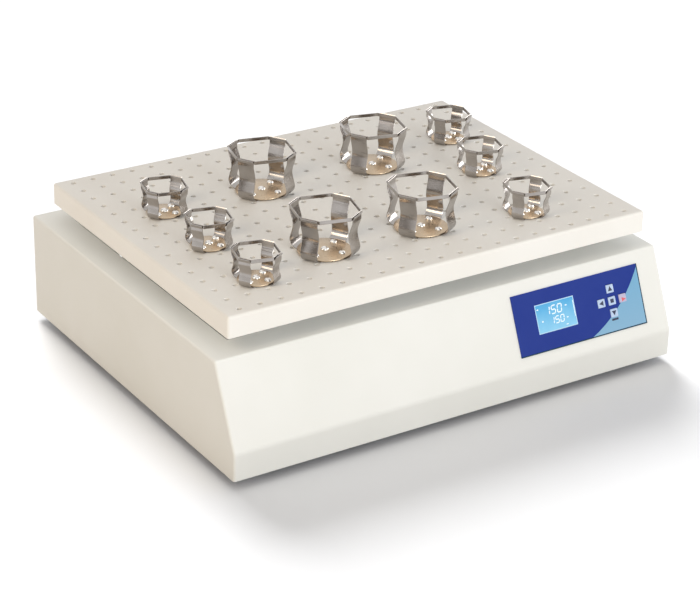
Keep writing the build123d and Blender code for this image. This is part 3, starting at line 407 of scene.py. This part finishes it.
finishes = {
    "housing_paint": powder_coat("housing_paint", srgb(238, 238, 234), srgb(234, 234, 229)),
    "tray_paint": powder_coat("tray_paint", srgb(250, 248, 243), srgb(247, 244, 238)),
    "clamp_steel": brushed_metal(
        "clamp_steel", srgb(176, 171, 167), srgb(160, 154, 149), 0.15, depth=0.006 * MM),
    "panel_blue": panel_film("panel_blue"),
    "screen": lit_screen("screen"),
    "key_film": moulded_plastic("key_film", srgb(190, 210, 238), srgb(182, 204, 234), 0.4),
    "circuit_board": circuit_board("circuit_board"),
    "black_plastic": moulded_plastic("black_plastic", srgb(26, 26, 28), srgb(34, 34, 36)),
    "brass": brushed_metal("brass", srgb(212, 180, 108), srgb(188, 152, 84), 0.3),
    "rubber": moulded_plastic("rubber", srgb(30, 30, 30), srgb(44, 43, 42), 0.75),
    "bearing_steel": brushed_metal("bearing_steel", srgb(196, 197, 198), srgb(168, 168, 168), 0.22),
    "cast_aluminium": cast_metal("cast_aluminium", srgb(188, 189, 190), srgb(160, 161, 163)),
    "zinc_sheet": zinc_sheet("zinc_sheet"),
    "motor_black": moulded_plastic("motor_black", srgb(32, 33, 36), srgb(46, 47, 50), 0.5),
}
# The disc is the same steel as the straps; its tan tint is a painted reflection of the warm tray round it
disc_steel_painted_reflection = brushed_metal(
    "clamp_disc_painted_reflection", srgb(202, 182, 156), srgb(186, 165, 139), 0.32, grain=(1, 1, 1), depth=0.006 * MM)
# The rivet and screw heads are that steel as well; their near-white colour is a painted highlight
head_steel_painted_highlight = brushed_metal("clamp_heads_painted_highlight", srgb(236, 233, 229), srgb(226, 222, 217), 0.16, depth=0.004 * MM)
white_print_and_highlight = moulded_plastic("white_print_and_highlight", srgb(236, 246, 252), srgb(226, 240, 250), 0.35)
white_shader = white_print_and_highlight.node_tree.nodes["Principled BSDF"]
# This slightly glowing white serves the printed figures and also the painted highlight at the screen's right
# edge
white_shader.inputs["Emission Color"].default_value = srgb(236, 246, 252)
white_shader.inputs["Emission Strength"].default_value = 0.15
navy_print = moulded_plastic("navy_print", srgb(24, 32, 66), srgb(30, 38, 74), 0.4)
red_print = moulded_plastic("red_print", srgb(226, 96, 104), srgb(218, 84, 94), 0.4)
lilac_key = moulded_plastic("lilac_key", srgb(192, 186, 214), srgb(186, 180, 208), 0.4)

for node in nodes.values():
    for place in node.material_slots:
        place.material = finishes[place.material.name]


# Building meshes

def new_piece(name, points, faces, finish, smooth=30, even=False):
    """A mesh object with its doubled points merged and its shading smooth up to an angle in degrees."""
    mesh = bpy.data.meshes.new(name)
    mesh.from_pydata([tuple(point) for point in points], [], faces)
    form = bmesh.new()
    form.from_mesh(mesh)
    bmesh.ops.remove_doubles(form, verts=form.verts, dist=0.001 * MM)
    bmesh.ops.recalc_face_normals(form, faces=form.faces)
    form.to_mesh(mesh)
    form.free()
    mesh.shade_smooth()
    mesh.set_sharp_from_angle(angle=radians(smooth))
    mesh.materials.append(finish)
    piece = bpy.data.objects.new(name, mesh)
    scene.collection.objects.link(piece)
    if even:
        shading = piece.modifiers.new("even_shading", "WEIGHTED_NORMAL")
        shading.keep_sharp = True
    return piece


def settle(piece, body, slot, *replaced):
    """Puts a finished piece on its body and hides the nodes that it stands for. The slot is not used."""
    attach(piece, body)
    if replaced:
        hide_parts(*replaced)


class Shape:
    """Points and faces that are added up loop by loop."""

    def __init__(self):
        self.points = []
        self.faces = []

    def loop(self, points):
        start = len(self.points)
        self.points.extend(Vector(point) for point in points)
        return list(range(start, len(self.points)))

    def bridge(self, first, second):
        """Joins two closed loops of equal length by a band of faces."""
        for n in range(len(first)):
            after = (n + 1) % len(first)
            self.faces.append((first[n], first[after], second[after], second[n]))

    def cap(self, loop):
        self.faces.append(tuple(loop))

    def skin(self, rings):
        """Bridges rings of points one after another and caps both ends."""
        loops = [self.loop(ring) for ring in rings]
        for first, second in zip(loops, loops[1:]):
            self.bridge(first, second)
        self.cap(loops[0])
        self.cap(loops[-1])

    def move(self, matrix, start=0):
        for n in range(start, len(self.points)):
            self.points[n] = matrix @ self.points[n]


def circle(radius, height, steps):
    turns = [2 * pi * n / steps for n in range(steps)]
    return [Vector((radius * cos(turn), radius * sin(turn), height)) for turn in turns]


def lathe(shape, profile, steps):
    """Turns a profile of (radius, height) about the Z axis, from one closed end to the other."""
    shape.skin([circle(radius, height, steps) for radius, height in profile])


# Tray

def cell_lines(count):
    """Where the cells round the holes of one row begin and end, measured from the tray's middle."""
    half = count * HOLE_PITCH / 2
    return [n * HOLE_PITCH - half for n in range(count + 1)]


def hole_profile():
    """A punched hole from the top face down: a rolled lip, the bore, and the collar it draws below."""
    roll = [
        (HOLE_RADIUS + HOLE_ROLL * (1 - sin(turn)), -HOLE_ROLL * (1 - cos(turn)))
        for turn in (0, radians(30), radians(60), radians(90))]
    foot = -TRAY_SHEET - HOLE_DRAW
    collar = HOLE_RADIUS + HOLE_COLLAR
    return roll + [(HOLE_RADIUS, foot), (collar, foot), (collar, -TRAY_SHEET)]


def corner_arc(x, y, radius, height, steps):
    """A quarter circle about a corner of the flat top, turned to point away from the tray's middle."""
    start = {(True, True): 0, (False, True): 90, (False, False): 180, (True, False): 270}[(x > 0, y > 0)]
    turns = [radians(start + 90 * n / steps) for n in range(steps + 1)]
    return [Vector((x + radius * cos(turn), y + radius * sin(turn), height)) for turn in turns]


def make_tray():
    low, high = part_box("tray")
    middle = (low + high) / 2
    top = Vector((middle.x, middle.y, high.z))
    flat_x = (high.x - low.x) / 2 - TRAY_BEND
    flat_y = (high.y - low.y) / 2 - TRAY_BEND
    lines_x = cell_lines(HOLE_COLUMNS)
    lines_y = cell_lines(HOLE_ROWS)
    lines_x[0], lines_x[-1] = -flat_x, flat_x
    lines_y[0], lines_y[-1] = -flat_y, flat_y
    shape = Shape()
    profile = hole_profile()
    for column in range(HOLE_COLUMNS):
        for row in range(HOLE_ROWS):
            hole = (
                (column - (HOLE_COLUMNS - 1) / 2) * HOLE_PITCH, (row - (HOLE_ROWS - 1) / 2) * HOLE_PITCH)
            edges = (lines_x[column], lines_x[column + 1], lines_y[row], lines_y[row + 1])
            add_cell(shape, hole, edges, profile)
    turns = [radians(90 * n / BEND_STEPS) for n in range(BEND_STEPS + 1)]
    skirt = low.z - high.z
    outside = [bend_loop(flat_x, flat_y, turn, TRAY_BEND, 0.0) for turn in turns]
    outside.append(rim_loop(flat_x, flat_y, TRAY_BEND, skirt + RIM_ROUND))
    outside.append(rim_loop(flat_x, flat_y, TRAY_BEND - RIM_ROUND, skirt))
    inside = [bend_loop(flat_x, flat_y, turn, TRAY_BEND - TRAY_SHEET, -TRAY_SHEET) for turn in turns]
    inside.append(rim_loop(flat_x, flat_y, TRAY_BEND - TRAY_SHEET, skirt + RIM_ROUND))
    inside.append(rim_loop(flat_x, flat_y, TRAY_BEND - TRAY_SHEET + RIM_ROUND, skirt))
    rings = outside + inside[::-1]
    loops = [shape.loop(ring) for ring in rings]
    for first, second in zip(loops, loops[1:]):
        shape.bridge(first, second)
    shape.move(Matrix.Translation(top))
    piece = new_piece("tray_pan", shape.points, shape.faces, finishes["tray_paint"], smooth=50, even=True)
    settle(piece, "tray_carriage", "tray_paint", "tray")


def rim_loop(flat_x, flat_y, reach, height):
    """A level line round the tray, at one reach outside the flat top, with round corners."""
    loop = []
    for x, y in ((flat_x, flat_y), (-flat_x, flat_y), (-flat_x, -flat_y), (flat_x, -flat_y)):
        loop.extend(corner_arc(x, y, reach, height, BEND_STEPS))
    return loop


def bend_loop(flat_x, flat_y, turn, radius, level):
    """The line round the tray at one turn of the bend between its top and its skirt."""
    return rim_loop(flat_x, flat_y, radius * sin(turn), level - radius * (1 - cos(turn)))


def add_cell(shape, hole, edges, profile):
    """One hole with the sheet round it: four flat faces above, four below, its wall and its collar."""
    west, east, south, north = edges
    steps = 4 * HOLE_STEPS
    corners = [(east, north), (west, north), (west, south), (east, south)]
    angles = [radians(45 + 360 * n / steps) for n in range(steps)]
    walls = [
        shape.loop([(hole[0] + r * cos(a), hole[1] + r * sin(a), z) for a in angles]) for r, z in profile]
    for first, second in zip(walls, walls[1:]):
        shape.bridge(first, second)
    for wall, height in ((walls[0], 0.0), (walls[-1], -TRAY_SHEET)):
        outer = shape.loop([(x, y, height) for x, y in corners])
        for n in range(4):
            arc = [wall[(n * HOLE_STEPS + k) % steps] for k in range(HOLE_STEPS + 1)]
            shape.cap([outer[n]] + arc + [outer[(n + 1) % 4]])


# Clamps

def rounded_path(points, radii):
    """A polyline whose inner corners are arcs. One radius for each inner corner."""
    path = [Vector(points[0])]
    for before, corner, after, radius in zip(points, points[1:], points[2:], radii):
        before, corner, after = Vector(before), Vector(corner), Vector(after)
        inward, outward = (before - corner).normalized(), (after - corner).normalized()
        half = inward.angle(outward) / 2
        reach = radius / tan(half)
        middle = corner + (inward + outward).normalized() * (radius / sin(half))
        start, end = corner + inward * reach, corner + outward * reach
        turn = pi - 2 * half
        steps = max(2, ceil(turn / ARC_STEP))
        first, last = start - middle, end - middle
        for n in range(steps + 1):
            share = n / steps
            weight_first = sin((1 - share) * turn) / sin(turn)
            weight_last = sin(share * turn) / sin(turn)
            path.append(middle + first * weight_first + last * weight_last)
    path.append(Vector(points[-1]))
    return path


def strap_section(width):
    """The strap's cross-section as (across, outward) offsets, with its edges eased."""
    side, face, ease = width / 2, STRAP_SHEET / 2, STRAP_EDGE
    return [
        (side - ease, face), (-side + ease, face), (-side, face - ease), (-side, -face + ease),
        (-side + ease, -face), (side - ease, -face), (side, -face + ease), (side, face - ease)]


def strap_shape(size, height):
    """One strap: flat on the tray under the disc, up round its foot, in at the waist, out to the ring."""
    half = STRAP_SHEET / 2
    against_ring = size["ring"] * cos(RING_SHORT_SIDE / 2) + half
    top = height - STRAP_LIP_DROP
    points = [
        (size["rivet"] - HEAD_RADIUS, half), (size["foot"] - half, half),
        (size["waist"] - half, WAIST_SHARE * top), (against_ring, top - 2 * RING_HEIGHT),
        (against_ring, top - STRAP_LIP_HEIGHT), (against_ring + STRAP_LIP, top)]
    path = rounded_path(points, (size["bend"], 2 * size["bend"], size["bend"], STRAP_LIP_BEND))
    shape = Shape()
    section = strap_section(size["width"])
    rings = []
    for n, point in enumerate(path):
        before, after = path[max(n - 1, 0)], path[min(n + 1, len(path) - 1)]
        along = (after - before).normalized()
        outward = Vector((along.y, -along.x))
        rings.append([
            Vector((point.x + outward.x * out, across, point.y + outward.y * out))
            for across, out in section])
    shape.skin(rings)
    return shape


def ring_corners(radius, height):
    half = RING_SHORT_SIDE / 2
    return [
        Vector((radius * cos(angle + side * half), radius * sin(angle + side * half), height))
        for angle in STRAP_ANGLES for side in (-1, 1)]


def ring_shape(size, height):
    """An eight-sided band, its edges eased."""
    half = RING_SHORT_SIDE / 2
    inner = size["ring"] - RING_SHEET / cos(half)
    ease = STRAP_EDGE
    outer, foot = size["ring"], height - RING_HEIGHT
    rows = [
        (outer - ease, height), (outer, height - ease), (outer, foot + ease), (outer - ease, foot),
        (inner + ease, foot), (inner, foot + ease), (inner, height - ease), (inner + ease, height)]
    shape = Shape()
    loops = [shape.loop(ring_corners(radius, z)) for radius, z in rows]
    for first, second in zip(loops, loops[1:] + loops[:1]):
        shape.bridge(first, second)
    return shape


def dome_profile(radius):
    """From the disc's face up over a domed head: a short straight side and then the dome."""
    seat = STRAP_SHEET + DISC_SHEET
    rise = HEAD_HEIGHT - HEAD_FOOT
    turns = [radians(12 * n) for n in range(8)]
    dome = [(radius * cos(turn), seat + HEAD_FOOT + rise * sin(turn)) for turn in turns]
    return [(radius, seat)] + dome + [(radius * cos(turns[-1]), seat + HEAD_HEIGHT)]


def disc_shape(size):
    """A round plate on the straps, with its edges eased."""
    edge, under, top = DISC_EDGE, STRAP_SHEET, STRAP_SHEET + DISC_SHEET
    profile = [
        (size["disc"] - edge, under), (size["disc"], under + edge), (size["disc"], top - edge),
        (size["disc"] - edge * 0.3, top - edge * 0.3), (size["disc"] - edge, top)]
    shape = Shape()
    lathe(shape, profile, DISC_STEPS)
    return shape


def turned(shape, angle, start=0):
    shape.move(Matrix.Rotation(angle, 4, "Z"), start)


def straps_shape(size, height):
    shape = Shape()
    for angle in STRAP_ANGLES:
        strap = strap_shape(size, height)
        turned(strap, angle)
        start = len(shape.points)
        shape.points.extend(strap.points)
        shape.faces.extend(tuple(n + start for n in face) for face in strap.faces)
    return shape


def rivets_shape(size):
    shape = Shape()
    for angle in STRAP_ANGLES:
        start = len(shape.points)
        lathe(shape, dome_profile(HEAD_RADIUS), HEAD_STEPS)
        shape.move(Matrix.Translation((size["rivet"], 0, 0)), start)
        turned(shape, angle, start)
    return shape


def screw_shape():
    """The clamp's own screw: a domed head on the disc, its shank, and a nut under the tray."""
    shape = Shape()
    lathe(shape, dome_profile(CENTRE_HEAD_RADIUS), CENTRE_HEAD_STEPS)
    nut_top, nut_foot = -TRAY_SHEET, -TRAY_SHEET - NUT_HEIGHT
    lathe(shape, [(SHANK_RADIUS, DISC_SHEET), (SHANK_RADIUS, nut_foot)], SHANK_STEPS)
    lathe(shape, [
        (NUT_RADIUS - NUT_EDGE, nut_top), (NUT_RADIUS, nut_top - NUT_EDGE),
        (NUT_RADIUS, nut_foot + NUT_EDGE), (NUT_RADIUS - NUT_EDGE, nut_foot)], NUT_SIDES)
    return shape


def make_clamps():
    for size in (LARGE, SMALL):
        low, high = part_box(f"{size['name']}_1")
        height = high.z - low.z
        shapes = {
            "disc": (disc_shape(size), disc_steel_painted_reflection, f"{size['name']}_{{}}"),
            "straps": (straps_shape(size, height), finishes["clamp_steel"], f"{size['name']}_{{}}"),
            "ring": (ring_shape(size, height), finishes["clamp_steel"], f"{size['name']}_rings"),
            "rivets": (rivets_shape(size), head_steel_painted_highlight, "clamp_rivets"),
            "screw": (screw_shape(), head_steel_painted_highlight, "clamp_screws"),
        }
        for number in range(1, size["count"] + 1):
            low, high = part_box(f"{size['name']}_{number}")
            axis = Vector(((low.x + high.x) / 2, (low.y + high.y) / 2, low.z))
            for part, (shape, finish, node) in shapes.items():
                piece = new_piece(f"{size['name']}_{number}_{part}", shape.points, shape.faces, finish)
                piece.matrix_world = Matrix.Translation(axis) @ Matrix.Rotation(CLAMP_TURN, 4, "Z")
                settle(piece, "tray_carriage", "clamp_steel", node.format(number))


# Control panel: the film's prints, the keys and the figures on the screen

def rectangle(x, y, size):
    """The corners of an upright rectangle about its middle."""
    half_x, half_y = size[0] / 2, size[1] / 2
    return [(x + along * half_x, y + up * half_y) for along, up in ((-1, -1), (1, -1), (1, 1), (-1, 1))]


def key_middle(name):
    """How far a key's middle lies along the panel and up it."""
    low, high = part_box(name)
    offset = (low + high) / 2 - PANEL_MIDDLE
    return offset.dot(PANEL_ALONG), offset.dot(PANEL_UP)


def add_flat(shape, outline, base=0.0):
    """A thin printed patch on the panel, from an outline of (along, up) places."""
    foot = shape.loop([on_panel(a, u, base) for a, u in outline])
    face = shape.loop([on_panel(a, u, base + PRINT_THICKNESS) for a, u in outline])
    shape.bridge(foot, face)
    shape.cap(foot)
    shape.cap(face)


def add_segment(shape, start, end, width, origin, height):
    """One bar of a seven-segment figure, pointed at both ends and leaning with the figure."""
    run = Vector((end[0] - start[0], end[1] - start[1]))
    length = run.length
    run.normalize()
    side = Vector((-run.y, run.x))
    half, gap = width / 2, width * SEGMENT_GAP
    bar = []
    for reach, out in ((gap, 0), (gap + half, half), (length - gap - half, half),
                       (length - gap, 0), (length - gap - half, -half), (gap + half, -half)):
        point = Vector(start) + run * reach + side * out
        bar.append((origin[0] + point.x + DIGIT_SLANT * (point.y - height / 2), origin[1] + point.y))
    add_flat(shape, bar)


def add_figure(shape, text, origin, height, stroke):
    """A row of seven-segment figures that starts at origin, their lower left corner."""
    wide, rise, pitch = height * DIGIT_WIDTH, height / 2, height * DIGIT_PITCH
    for place, digit in enumerate(text):
        corner = (origin[0] + place * pitch, origin[1])
        for name in DIGITS[digit]:
            (x0, y0), (x1, y1) = SEGMENTS[name]
            add_segment(shape, (x0 * wide, y0 * rise), (x1 * wide, y1 * rise), stroke, corner, height)


def on_screen(share_along, share_down):
    """A place on the screen, as shares of its length from the left and of its height from the top."""
    return (
        SCREEN_MIDDLE[0] + (share_along - 0.5) * SCREEN_SIZE[0],
        SCREEN_MIDDLE[1] + (0.5 - share_down) * SCREEN_SIZE[1])


def make_screen_figures():
    shape = Shape()
    for text, place, height, stroke in FIGURES:
        add_figure(shape, text, on_screen(*place), height, stroke)
    # The marks include a thin white bar that is a painted highlight along the screen's right edge
    for place, size in SCREEN_MARKS_AND_HIGHLIGHT:
        add_flat(shape, rectangle(*on_screen(*place), size))
    piece = new_piece("screen_figures_and_highlight", shape.points, shape.faces, white_print_and_highlight, smooth=20)
    settle(piece, "base", "screen")


def cap_outline(half_x, half_y):
    """A key's outline, with round corners."""
    corners = ((half_x, half_y, 0), (-half_x, half_y, 90), (-half_x, -half_y, 180), (half_x, -half_y, 270))
    outline = []
    for x, y, start in corners:
        middle_x = x - KEY_ROUND if x > 0 else x + KEY_ROUND
        middle_y = y - KEY_ROUND if y > 0 else y + KEY_ROUND
        for n in range(KEY_ROUND_STEPS + 1):
            turn = radians(start + 90 * n / KEY_ROUND_STEPS)
            outline.append((middle_x + KEY_ROUND * cos(turn), middle_y + KEY_ROUND * sin(turn)))
    return outline


def make_key(name):
    """A soft-edged cap with its mark printed on it."""
    middle = key_middle(name)
    half_x, half_y = KEY_CAP[0] / 2, KEY_CAP[1] / 2
    rows = [(0, -KEY_DEPTH)] + [(inset, KEY_PROUD - drop) for inset, drop in KEY_EDGE]
    shape = Shape()
    rings = []
    for inset, proud in rows:
        outline = cap_outline(half_x - inset, half_y - inset)
        rings.append([on_panel(middle[0] + x, middle[1] + y, proud) for x, y in outline])
    shape.skin(rings)
    finish = lilac_key if name == "key_right" else finishes["key_film"]
    cap = new_piece(f"{name}_cap", shape.points, shape.faces, finish, smooth=40)
    settle(cap, name, "key_film", name)
    mark = Shape()
    outline = [(middle[0] + x * KEY_CAP[0], middle[1] + y * KEY_CAP[1]) for x, y in KEY_MARKS[name]]
    add_flat(mark, outline, KEY_PROUD - PRINT_THICKNESS / 2)
    print_finish = red_print if name == "key_right" else navy_print
    piece = new_piece(f"{name}_mark", mark.points, mark.faces, print_finish, smooth=20)
    settle(piece, name, "key_film")


def make_key_bar():
    """The short dark bar printed on the film under the lowest key."""
    x, y = key_middle("key_down")
    shape = Shape()
    add_flat(shape, rectangle(x, y - KEY_CAP[1] / 2 - KEY_BAR_DROP, KEY_BAR))
    settle(new_piece("key_bar", shape.points, shape.faces, navy_print, smooth=20), "base", "panel_blue")


def make_panel():
    make_screen_figures()
    make_key_bar()
    for name in KEY_MARKS:
        make_key(name)


# Floor, lights and camera

def seen_in_view(tree):
    """1 for the camera's rays and for those that metal and glass send on, and 0 for light."""
    rays = tree.nodes.new("ShaderNodeLightPath").outputs
    seen = calculate(tree, "MAXIMUM", rays["Is Camera Ray"], rays["Is Glossy Ray"])
    return calculate(tree, "MAXIMUM", seen, rays["Is Transmission Ray"])


def make_floor():
    """A wide pale floor. The camera sees it brighter, so that it is white where no shadow falls."""
    side = 2 * FLOOR_REACH
    corners = [(x, y, 0) for x, y in rectangle(0, 0, (side, side))]
    mesh = bpy.data.meshes.new("floor")
    mesh.from_pydata(corners, [], [(0, 1, 2, 3)])
    floor = bpy.data.objects.new("floor", mesh)
    scene.collection.objects.link(floor)
    material = bpy.data.materials.new("floor")
    material.use_nodes = True
    tree = material.node_tree
    tree.nodes.clear()
    output = tree.nodes.new("ShaderNodeOutputMaterial")
    paint = mix(tree, seen_in_view(tree), (0.8, 0.77, 0.72, 1), (1.12, 1.13, 1.15, 1))
    diffuse = add_node(tree, "ShaderNodeBsdfDiffuse", {"Color": paint})
    tree.links.new(diffuse.outputs["BSDF"], output.inputs["Surface"])
    mesh.materials.append(material)
    return floor


def make_world():
    """Soft light from all round, a little dimmer from above and much dimmer and warmer from the left."""
    world = bpy.data.worlds.new("studio")
    scene.world = world
    world.use_nodes = True
    tree = world.node_tree
    tree.nodes.clear()
    direction = add_node(tree, "ShaderNodeTexCoord").outputs["Generated"]
    parts = add_node(tree, "ShaderNodeSeparateXYZ", {"Vector": direction})
    leftness = spread(tree, parts.outputs["X"], 1, 0, -0.9, 0.1)
    height = spread(tree, parts.outputs["Z"], 0, 1, 0.1, 1)
    around = mix(tree, leftness, (0.66, 0.67, 0.7, 1), (0.28, 0.2, 0.14, 1))
    light = mix(tree, height, around, (0.54, 0.53, 0.51, 1))
    colour = mix(tree, seen_in_view(tree), light, (1, 1, 1, 1))
    background = add_node(tree, "ShaderNodeBackground", {"Color": colour}, {"Strength": 1.0})
    output = tree.nodes.new("ShaderNodeOutputWorld")
    tree.links.new(background.outputs["Background"], output.inputs["Surface"])


def link_things(name, things, state):
    """A light's list of things: INCLUDE keeps its effect to them and EXCLUDE spares them."""
    listed = bpy.data.collections.new(name)
    for thing in things:
        listed.objects.link(thing)
    for entry in listed.collection_objects:
        entry.light_linking.link_state = state
    return listed


def light_only(lamp, things, state):
    lamp.light_linking.receiver_collection = link_things(lamp.name, things, state)


def place_lamp(name, data, place, aim):
    lamp = bpy.data.objects.new(name, data)
    scene.collection.objects.link(lamp)
    lamp.location = place
    lamp.rotation_mode = "QUATERNION"
    lamp.rotation_quaternion = (Vector(aim) - Vector(place)).to_track_quat("-Z", "Y")
    return lamp


def make_soft_box(name, place, aim, size, power, colour=(1, 1, 1)):
    data = bpy.data.lights.new(name, "AREA")
    data.shape = "RECTANGLE"
    data.size, data.size_y = size
    data.energy = power
    data.color = colour
    return place_lamp(name, data, place, aim)


def make_lamps(floor):
    """Soft boxes for the housing, for the rest and for the metal's sheen, and the floor's shadow light."""
    pan = scene.objects["tray_pan"]
    front = make_soft_box("front_light", (0.35, -2.5, 0.6), LAMP_AIM, (1.6, 0.9), 23, COOL_LIGHT)
    light_only(front, [floor, nodes["housing"]], "EXCLUDE")
    housing = make_soft_box("housing_light", (0.3, -2.2, 1.65), LAMP_AIM, (1.4, 1.4), 30, COOL_LIGHT)
    light_only(housing, [nodes["housing"]], "INCLUDE")
    housing.light_linking.blocker_collection = link_things("housing_light_blockers", [pan], "EXCLUDE")
    left = make_soft_box("left_light", (-2.2, -0.5, 1.75), LAMP_AIM, (1.2, 1.2), 18, WARM_LIGHT)
    light_only(left, [floor], "EXCLUDE")
    sheen = make_soft_box("metal_sheen", (1.9, -0.3, 0.55), SHEEN_AIM, (1.8, 1.0), 26)
    sheen.visible_diffuse = False
    light_only(sheen, [floor], "EXCLUDE")
    data = bpy.data.lights.new("shadow_light", "SUN")
    data.energy = SHADOW_POWER
    data.angle = SHADOW_ANGLE
    shadow = place_lamp("shadow_light", data, (0.3, 1.5, 1.32), (0, 0, 0))
    light_only(shadow, [floor], "INCLUDE")


def make_camera():
    low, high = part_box("tray")
    tray_top = Vector(((low.x + high.x) / 2, (low.y + high.y) / 2, high.z))
    a, e = CAMERA_AZIMUTH, CAMERA_ELEVATION
    back = Vector((sin(a) * cos(e), -cos(a) * cos(e), sin(e)))
    level = Vector((cos(a), sin(a), 0))
    upright = back.cross(level)
    side = level * cos(CAMERA_ROLL) + upright * sin(CAMERA_ROLL)
    rise = upright * cos(CAMERA_ROLL) - level * sin(CAMERA_ROLL)
    data = bpy.data.cameras.new("camera")
    data.lens = CAMERA_LENS
    data.sensor_width = CAMERA_SENSOR
    data.clip_start, data.clip_end = 0.05, 50
    camera = bpy.data.objects.new("camera", data)
    scene.collection.objects.link(camera)
    place = tray_top + back * CAMERA_DISTANCE + side * CAMERA_SIDE + rise * CAMERA_RISE
    turn = Matrix((side, rise, back)).transposed().to_4x4()
    camera.matrix_world = Matrix.Translation(place) @ turn
    scene.camera = camera


make_tray()
make_clamps()
make_panel()
make_lamps(make_floor())
make_world()
make_camera()

scene.view_settings.view_transform = "Standard"
